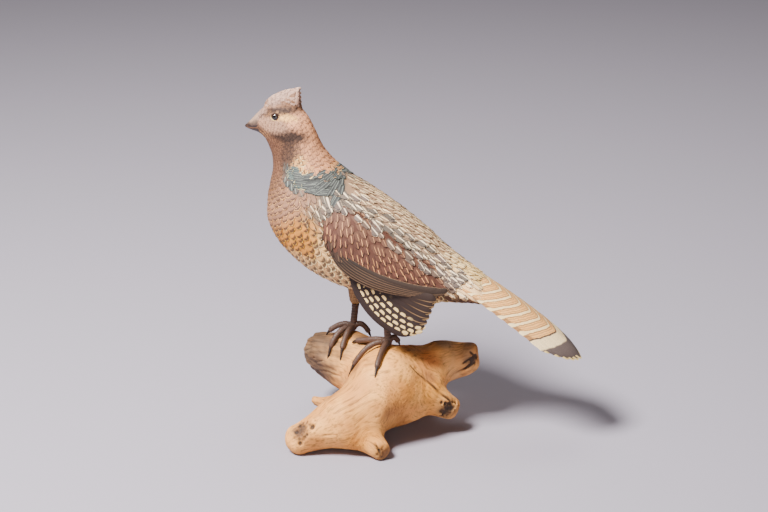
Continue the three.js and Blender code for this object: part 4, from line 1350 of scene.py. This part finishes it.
def add_bill(shape):
    """The two halves of the bill, parted by the line of the mouth."""
    def height(t, z):
        low, high = (body(BILL_END * t, np.full(t.shape, at)) for at in (0.5, 0.0))
        return (z - low[..., 2]) / np.maximum(high[..., 2] - low[..., 2], 0.1), (low + high) / 2

    def place(t, around):
        base = body(BILL_END * t, around)
        up, middle = height(t, base[..., 2])
        groove = np.exp(-((up - mix(0.2, 0.36, t)) / 0.045) ** 2) * smooth(0.08, 0.25, t)
        swell = 1 + 0.10 * smooth(0.3, 0.8, t) * (1 - smooth(0.8, 1, t)) - 0.2 * groove
        return middle + (base - middle) * stacked(1, swell, 1 + 0.02 * swell)

    points, faces, t, around = skin(place, 26, 48)
    up, _ = height(t, points[..., 2])
    shape.add(points, faces, BILL, {"vane": stacked(up, t, 0, 0)}, stacked(t * 20, around * 40))


def add_lids(shape):
    """A thin raised ring round each eye."""
    rings, sides = 36, 10
    for side in (-1, 1):
        turn, round_ = np.meshgrid(np.arange(rings) / rings, np.arange(sides) / sides, indexing="ij")
        c, s = turned(turn)
        e, f = turned(round_)
        radius = EYE["radius"] + 0.15 + 0.75 * e
        across = unit(np.array([0.14, side * 0.985, 0.08]))
        first = unit(np.cross(across, [0.0, 0.0, 1.0]))
        second = np.cross(first, across)
        centre = np.array([EYE["x"], side * EYE["y"], EYE["z"]]) + across * 2.0
        points = (centre + first * (c * radius)[..., None] + second * (0.86 * s * radius)[..., None]
                  + across * (0.8 * f)[..., None])
        faces = squares(wrapped(rings, sides, 1), True)
        shape.add(points, faces, LIDS, {}, stacked(turn * 30, round_ * 5))


def make_bird():
    """The whole bird but its eyes and its bare legs, as one piece."""
    shape = Shape()
    plain = lambda name: lambda points, *places: coats(name, *points.shape[:-1])
    wings = [(shield(side), WING_GRID) for side in (-1, 1)]
    body_tree = tree_of((body, BODY_GRID))
    wing_tree = tree_of((body, BODY_GRID), *wings)
    add_skin(shape, body, 60, 36, coat)
    add_skin(shape, crest, 24, 20, plain("crest"))
    for place, _ in wings:
        add_skin(shape, place, 30, 24, plain("shield"))
    for leg in LEGS.values():
        add_skin(shape, thigh(leg), 16, 24, plain("thigh"))
        thigh_feathers(shape, leg)
    body_feathers(shape, tree_of((body, BODY_GRID), (crest, CREST_GRID)))
    ruff_feathers(shape, body_tree)
    crest_feathers(shape)
    crest_tips(shape)
    for side in (-1, 1):
        covert_feathers(shape, wing_tree, side)
        secondary_feathers(shape, side)
        scapular_feathers(shape, wing_tree, side)
        add_primaries(shape, side)
    add_tail(shape)
    add_bill(shape)
    add_lids(shape)
    materials = [plumage(), bill_paint(), tail_paint(), primary_paint(), eyelid_paint()]
    made = piece("grouse", shape, materials)
    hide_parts("grouse_carving")
    print("grouse triangles", shape.triangles(), "feathers", len(shape.cells))


# The driftwood

def meet(a, b, rounding):
    """The nearer of two fields, melted together where they are alike."""
    near = np.maximum(1 - np.abs(a - b) / rounding, 0)
    return np.minimum(a, b) - near * near * rounding / 4


def segment(p, a, b, endless=False):
    """How far along a straight piece each point is, as a share, and how far from it."""
    line = b - a
    share = ((p - a) @ line) / (line @ line)
    t = np.maximum(share, 0) if endless else np.clip(share, 0, 1)
    return share, t, np.linalg.norm(p - a - t[..., None] * line, axis=-1)


def limb_field(limb, p):
    """How far points are from a limb's surface, below zero inside it."""
    points, broken, _ = limb
    nearest = np.full(p.shape[:-1], np.inf)
    for i in range(1, len(points)):
        a, b = np.array(points[i - 1], float), np.array(points[i], float)
        flat_end = broken and i == len(points) - 1
        share, t, away = segment(p, a[:3], b[:3], flat_end)
        side = away - a[3] - np.minimum(t, 1) * (b[3] - a[3])
        if flat_end:
            side = -meet(-side, (1 - share) * np.linalg.norm(b[:3] - a[:3]), BROKEN_EDGE)
        nearest = np.minimum(nearest, side)
    return nearest


def wood_field(p):
    """The driftwood as a field, below zero inside it, as in the solid."""
    sofar = np.full(p.shape[:-1], 1e6)
    for limb in LIMBS:
        sofar = meet(sofar, limb_field(limb, p), limb[2])
    x, y, z = np.moveaxis(p, -1, 0)
    swell = 1.2 * np.sin(x / 13 + z / 19) * np.sin(y / 15 - z / 11)
    return sofar + swell + 0.6 * np.sin((x + y) / 9)


def slope_of(field, p):
    """How fast a field rises along each axis, from two places near each point."""
    near = 0.05
    return stacked(*(field(p + step) - field(p - step) for step in near * np.eye(3))) / (2 * near)


def pulled(field, p, times=3):
    """Points moved onto a field's surface."""
    for _ in range(times):
        slope = slope_of(field, p)
        p = p - slope * (field(p) / np.maximum((slope * slope).sum(-1), 0.2))[..., None]
    return p


def wood_top(x, y):
    """The height of the wood's upper surface at places seen from above."""
    z = np.full(np.shape(x), 140.0)
    for _ in range(60):
        z = z - 0.8 * wood_field(stacked(x, y, z))
    return z


def near_to(p, middle, reach):
    """Which points are in a box round a place."""
    return np.flatnonzero(np.all(np.abs(p - middle) < reach, axis=-1))


def lumped(p):
    """The height of the bumps, less the depth of the dents, at points round the surface, in mm."""
    height = np.zeros(len(p))
    for x, y, z, reach, high in LUMPS:
        some = near_to(p, (x, y, z), 2.5 * reach)
        height[some] += high * np.exp(-(((p[some] - [x, y, z]) ** 2).sum(-1)) / reach ** 2)
    return height


def carved(p, holes):
    """How deep the cracks and holes go at points round the surface, in mm."""
    depth = np.zeros(len(p))
    for points, width, deep in CRACKS:
        points = np.array(points, float)
        for a, b in zip(points, points[1:]):
            reach = 3 * width + 2 + np.abs(b - a).max() / 2
            some = near_to(p, (a + b) / 2, reach)
            _, _, away = segment(p[some], a, b)
            wander = 1 + 0.15 * np.sin(p[some].sum(-1) * 0.3)
            depth[some] = np.maximum(depth[some], deep * np.exp(-(away / (width * wander)) ** 2))
    for x, y, z, radius in holes:
        some = near_to(p, (x, y, z), 3 * radius)
        away = np.linalg.norm((p[some] - [x, y, z]) * [1, 1, 0.85], axis=-1)
        depth[some] = np.maximum(depth[some], 1.5 * radius * np.exp(-(away / radius) ** 4))
    return depth


def scattered_holes():
    """The holes with the smaller ones that are scattered round them, all on the surface."""
    more = []
    for x, y, z, reach, count in WORMED:
        at = np.array([x, y, z]) + RANDOM.normal(0, 0.45, (count, 3)) * reach
        at = pulled(wood_field, at, 4)
        more.append(np.concatenate([at, RANDOM.uniform(1.1, 2.1, (count, 1))], 1))
    drawn = np.array(HOLES)
    drawn[:, :3] = pulled(wood_field, drawn[:, :3], 4)
    return np.concatenate([drawn, *more])


def net(field, low, size, cell):
    """A closed mesh of a field's surface: a point in each cell it crosses, a square over each edge."""
    coarse = 4
    counts = np.ceil(np.array(size) / (cell * coarse)).astype(int)
    axes = [low[k] + cell * coarse * (np.arange(counts[k]) + 0.5) - cell / 2 for k in range(3)]
    rough = field(np.stack(np.meshgrid(*axes, indexing="ij"), -1))
    value = rough.repeat(coarse, 0).repeat(coarse, 1).repeat(coarse, 2)
    near = np.argwhere(np.abs(value) < cell * coarse * 1.5)
    for part in np.array_split(near, 12):
        value[tuple(part.T)] = field(np.array(low) + cell * part)
    inside = value < 0
    shape = np.array(value.shape) - 1
    part_of = lambda grid, o: grid[o[0]:o[0] + shape[0], o[1]:o[1] + shape[1], o[2]:o[2] + shape[2]]
    corners = [part_of(inside, (a, b, c)) for a in (0, 1) for b in (0, 1) for c in (0, 1)]
    mixed = np.argwhere(np.any(corners, axis=0) & ~np.all(corners, axis=0))
    number = np.full(shape, -1)
    number[tuple(mixed.T)] = np.arange(len(mixed))
    total, crossed = np.zeros((len(mixed), 3)), np.zeros(len(mixed))
    steps = np.eye(3, dtype=int)
    for axis in range(3):
        for a in (0, 1):
            for b in (0, 1):
                start = a * steps[(axis + 1) % 3] + b * steps[(axis + 2) % 3]
                here, there = value[tuple((mixed + start).T)], value[tuple((mixed + start + steps[axis]).T)]
                cut = (here < 0) != (there < 0)
                t = np.where(cut, here / np.where(cut, here - there, 1), 0)
                total += cut[:, None] * (start + t[:, None] * steps[axis])
                crossed += cut
    points = np.array(low) + cell * (mixed + total / crossed[:, None])
    faces = []
    for axis in range(3):
        u, v = steps[(axis + 1) % 3], steps[(axis + 2) % 3]
        ends = [slice(1, -1)] * 3
        after = list(ends)
        after[axis] = slice(2, None)
        here, there = inside[tuple(ends)], inside[tuple(after)]
        at = np.argwhere(here != there) + 1
        ways = ((0, 0), (1, 0), (1, 1), (0, 1))
        ring = np.stack([number[tuple((at - m * u - n * v).T)] for m, n in ways], -1)
        flipped = ~here[tuple((at - 1).T)]
        ring[flipped] = ring[flipped][:, ::-1]
        faces.append(ring)
    return points, np.concatenate(faces)


def grain_of(p):
    """Where each point is in the grain: along its limb, then across it, blended between limbs."""
    total, place = np.zeros(len(p)), np.zeros((len(p), 3))
    distances = np.stack([limb_field(limb, p) for limb in LIMBS], -1)
    nearest = distances.min(-1)
    for i, (points, _, _) in enumerate(LIMBS):
        start, end = np.array(points[0][:3], float), np.array(points[-1][:3], float)
        line = unit(end - start)
        first = unit(np.cross(line, [0.0, 0.0, 1.0]))
        second = np.cross(line, first)
        share = np.exp(-(distances[:, i] - nearest) / 4.0)
        off = p - start
        place += share[:, None] * stacked(off @ line + 40 * i, off @ first, off @ second)
        total += share
    return place / total[:, None]


def wood_paint():
    """Pale streaks along the grain, darker blotches, and painted shade in dark brown where the wood is cut
    into and in the hollows between its ridges.
    """
    p = Paint("weathered_wood", Specular_IOR_Level=0.3)
    tint, _, dark = p.held("ground")
    _, (along, across, over), _ = p.held("vane")
    stretched = p.joined(along * 0.035, across * 0.42, over * 0.42)
    lines, fine = p.noise(1.0, 4.0, 0.6, stretched), p.noise(3.3, 3.0, 0.6, stretched)
    tone = (0.52 + p.fade(lines, 0.30, 0.54) * 0.54) * (0.78 + fine * 0.46)
    blotch = p.fade(p.noise(0.03, 4.0, 0.6), 0.36, 0.6, 0.9)
    warm = p.blend(blotch, tint, (0.74, 0.65, 0.58), "MULTIPLY")
    p.bump(lines + fine * 0.4, 0.5, 0.6)
    # Painted shade: dark brown laid on by the fourth number of ground, in cracks, holes and hollows.
    return p.finish(p.over(p.shade(warm, tone), (dark, "4a3325")), 0.68)


def stained_and_shaded(p):
    """The colour of the wood with its stains and its patch of painted shade, at each point."""
    tint = np.broadcast_to(colour(WOOD), (len(p), 3))
    for x, y, z, radius, code in STAINS_AND_SHADE:
        away = np.linalg.norm(p - [x, y, z], axis=-1) / radius
        away = away + 0.22 * np.sin(p[:, 0] / 7 + y) * np.sin(p[:, 1] / 5 + p[:, 2] / 8 + x)
        away = away + 0.10 * np.sin(p[:, 0] / 2.5 + z) * np.sin(p[:, 1] / 2.1 - p[:, 2] / 2.8)
        share = (1 - smooth(0.1, 1.3, away))[:, None]
        tint = mix(tint, colour(code), share)
    return tint


def ridged(grain, p):
    """The height of the weathered grain's ridges, higher on the slab at the rear left, in mm."""
    along, across, over = grain.T
    bend = 2.2 * np.sin(along / 23) + 1.1 * np.sin(along / 9 + across / 14)
    wide = np.sin((across + bend) / 2.9) * np.sin((over - bend) / 3.4 + 0.7)
    narrow = np.sin((across - bend) / 1.15 + along / 40) * np.sin((over + bend) / 1.3 + 1.9)
    slab = smooth(-25, -60, p[:, 0]) * smooth(-35, -10, p[:, 1])
    return (0.28 + 1.0 * slab) * wide + (0.07 + 0.4 * slab) * narrow, slab


def make_driftwood():
    """The solid's own surface, finely drawn, with its cracks, worm holes and rotten ends."""
    holes = scattered_holes()
    change = lambda p: carved(p, holes) - lumped(p)
    worn = lambda p: wood_field(p) + change(p.reshape(-1, 3)).reshape(p.shape[:-1])
    grounded = lambda p: np.maximum(worn(p), -p[..., 2])
    points, faces = net(grounded, WOOD_ROOM["low"], WOOD_ROOM["size"], WOOD_CELL)
    points = np.where(points[:, 2:] > 0.8, pulled(worn, points, 1), points)
    grain, facing = grain_of(points), unit(slope_of(wood_field, points))
    ridges, slab = ridged(grain, points)
    points = points + facing * (ridges * smooth(0.5, 4, points[:, 2]))[:, None]
    points[:, 2] = np.maximum(points[:, 2], 0)
    # Painted shade: darker in the hollows between the grain's ridges, most on the rear-left slab, and down in
    # the cracks and holes by their depth.
    hollow_shade = (0.1 + 0.22 * slab) * smooth(0.1, -0.9, ridges)
    dark = np.maximum(0.92 * smooth(0.5, 1.8, carved(points, holes)), hollow_shade)
    values = {"vane": np.concatenate([grain, np.zeros((len(points), 1))], 1),
              "ground": np.concatenate([stained_and_shaded(points), dark[:, None]], 1)}
    shape = Shape()
    shape.add(points, faces, 0, values, points[:, :2])
    made = piece("driftwood_root", shape, [wood_paint()], mapped=False)
    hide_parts("driftwood")
    print("driftwood triangles", shape.triangles())


# The legs

def bent(line, radius, rings, sides, scutes, spacing):
    """Points round a bent tapering line, with the overlapping scales of a bird's foot on top."""
    t = np.linspace(0, 1, rings + 1)
    centre = line(t)
    along = unit(np.gradient(centre, axis=0))
    across = unit(stacked(-along[:, 1], along[:, 0] + 1e-6, 0))
    upright = np.cross(along, across)
    around = np.arange(sides) / sides
    c, s = turned(around)
    distance = travelled(centre)
    wave = (distance / spacing) % 1
    scale = scutes * (wave[:, None] ** 0.7 - 0.5) * np.clip(s * np.sign(upright[:, 2:3]) + 0.35, 0, 1)
    r = np.where((t <= 0)[:, None] | (t >= 1)[:, None], 0.02, radius(t)[:, None] + scale)
    points = centre[:, None] + (r * c)[..., None] * across[:, None] + (r * s)[..., None] * upright[:, None]
    vane = stacked(c[None], t[:, None], distance[:, None], s[None])
    local = stacked(around[None] * 2 * math.pi * radius(t).max(), distance[:, None])
    return points, squares(wrapped(rings + 1, sides)), vane, local


def make_leg(name, leg, material):
    """A shin, the ball of its foot, and four toes that lie on the wood, each ending in a claw."""
    shape = Shape()
    foot = np.array(leg["foot"], float)
    ankle = np.array([*foot, float(wood_top(*foot)) + LEG["pad"]])
    top = np.array(leg["cuff"], float)

    def shin_radius(t):
        return LEG["shin"] * (1 + 0.3 * np.maximum(0, 1 - 5 * t) + 0.15 * np.maximum(0, 5 * t - 4))

    def add(line, radius, rings, sides, scutes, spacing, toe):
        points, faces, vane, local = bent(line, radius, rings, sides, scutes, spacing)
        shape.add(points, faces, 0, {"vane": vane, "extra": (RANDOM.random(), toe, 0, 0)}, local)

    add(lambda t: mix(ankle - [0, 0, 1.0], top, t[:, None]), shin_radius, 80, 28, 0.5, SCUTES["shin"], 0)
    x, y, z, t, around = ball(16, 24)
    faces = squares(wrapped(17, 24), True)
    values = {"vane": (0, 0.1, 5, 1), "extra": (0.5, 0, 0, 0)}
    points = ankle + LEG["pad"] * stacked(x, y, z)
    shape.add(points, faces, 0, values, stacked(around * 20, t * 12))
    for tip_x, tip_y, arch in leg["toes"]:
        def line(t):
            claw = np.maximum(0, t - 1 + CLAW_SHARE) / CLAW_SHARE
            x, y = mix(foot[0], tip_x, t), mix(foot[1], tip_y, t)
            lift = LEG["toe"] * (1 - 0.5 * t) + 4 * arch * np.maximum(t, 0.15) * (1 - t)
            return stacked(x, y, wood_top(x, y) + lift - CLAW_CURL * claw ** 2)

        def radius(t):
            claw = np.maximum(0, t - 1 + CLAW_SHARE) / CLAW_SHARE
            joint = 0.35 * np.exp(-(((t * 3.2) % 1 - 0.5) / 0.16) ** 2)
            bare = LEG["toe"] * (1 - 0.22 * t) * (1.0 + 0.2 * joint)
            return np.where(claw > 0.25, mix(0.55 * LEG["toe"], 0.5, (claw - 0.25) / 0.75), bare)

        add(line, radius, 72, 20, 0.45, SCUTES["toe"], 1)
    made = piece(name + "_scaled", shape, [material])
    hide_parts(name)
    print(name, "triangles", shape.triangles())


def leg_paint():
    """Brown scutes with dark gaps between them, and darker claws."""
    p = Paint("leg_scales", Specular_IOR_Level=0.35)
    _, (_, t, distance), _ = p.held("vane")
    _, (_, toe, _), _ = p.held("extra")
    wave = p.math("FRACT", distance / (SCUTES["shin"] - toe * (SCUTES["shin"] - SCUTES["toe"])))
    gap = p.fade(abs(wave - 0.5), 0.36, 0.5)
    rough = p.noise(0.6, 4.0)
    tone = p.over(colour("62463a"), (rough, "94725e"), (gap * 0.6, "3a2921"),
                  (toe * p.fade(t, 0.84, 0.87), "42302a"))
    p.bump(rough - gap, 0.2, 0.5)
    return p.finish(tone, 0.5)


# The eyes

def eye_paint():
    """A black pupil in a dark brown iris, under a clear gloss."""
    p = Paint("eye_glass", Coat_Weight=0.6, Coat_Roughness=0.03)
    _, (away, _, _), _ = p.held("vane")
    iris = p.over(colour("402a20"), (p.noise(1.5, 3.0), "5c3c2c"))
    tone = p.blend(p.fade(away, 0.50, 0.55), colour("0e0a09"), iris)
    return p.finish(p.over(tone, (p.fade(away, 0.86, 0.95), "1d1512")), 0.08)


def make_eye(name, side, material):
    """A ball of glass, with its pole, where the pupil is, facing straight out."""
    rings, sides = 32, 48
    x, z, y, t, around = ball(rings, sides)
    centre = np.array([EYE["x"], side * EYE["y"], EYE["z"]])
    away = np.hypot(x, z)
    shape = Shape()
    vane = stacked(away, t, 0, 0)
    points = centre + EYE["radius"] * stacked(x, side * y, z)
    faces = squares(wrapped(rings + 1, sides), True)
    shape.add(points, faces, 0, {"vane": vane}, stacked(around * 20, t * 14))
    made = piece(name + "_glass", shape, [material], sharp=80)
    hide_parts(name)


# The stage

FLOOR_HALF = 6
FLOOR_COLOUR = (0.33, 0.295, 0.34)
SKY_COLOUR, SKY_STRENGTH = (0.64, 0.62, 0.64, 1), 0.14
# Each lamp's place and width in metres, and its power in watts. They all face the bird.
LAMPS = {
    "key": ((-0.8, -1.05, 2.0), 0.7, 210),
    "fill": ((0.9, -1.9, 0.5), 1.4, 15),
    "top": ((-0.1, 0.7, 2.1), 1.2, 16),
}
LAMPS_FACE = (0, 0, 0.2)
# The camera's direction from the bird in degrees, its distance and its target's height in mm.
VIEW = {"azimuth": 14, "elevation": 20, "distance": 2100, "height": 196, "lens": 89.49, "sensor": 36}


def make_stage():
    """A plain pale floor, a pale sky and three soft lamps."""
    mesh = bpy.data.meshes.new("floor")
    corners = [(x * FLOOR_HALF, y * FLOOR_HALF, 0) for x, y in ((-1, -1), (1, -1), (1, 1), (-1, 1))]
    mesh.from_pydata(corners, [], [(0, 1, 2, 3)])
    floor = placed("floor", mesh)
    mesh.materials.append(Paint("floor_paper").finish(FLOOR_COLOUR, 0.9))

    world = bpy.data.worlds.new("studio")
    bpy.context.scene.world = world
    world.use_nodes = True
    background = world.node_tree.nodes["Background"]
    background.inputs["Color"].default_value = SKY_COLOUR
    background.inputs["Strength"].default_value = SKY_STRENGTH
    for name, (place, size, power) in LAMPS.items():
        light = bpy.data.lights.new(name, "AREA")
        light.shape = "DISK"
        light.size = size
        light.energy = power
        placed(name, light, place, Vector(LAMPS_FACE) - Vector(place))


def make_camera():
    """The photograph's own view, from the bird's left and a little above and behind."""
    azimuth, elevation = math.radians(VIEW["azimuth"]), math.radians(VIEW["elevation"])
    level = math.cos(elevation)
    back = np.array([math.sin(azimuth) * level, -math.cos(azimuth) * level, math.sin(elevation)])
    target = np.array([0, 0, VIEW["height"]]) + SHIFT
    data = bpy.data.cameras.new("camera")
    data.lens = VIEW["lens"]
    data.sensor_width = VIEW["sensor"]
    bpy.context.scene.camera = placed("camera", data, (target + back * VIEW["distance"]) * MM, -back)


make_bird()
glass = eye_paint()
make_eye("left_eye", -1, glass)
make_eye("right_eye", 1, glass)
scales = leg_paint()
for name, leg in LEGS.items():
    make_leg(name, leg, scales)
make_driftwood()
make_stage()
make_camera()
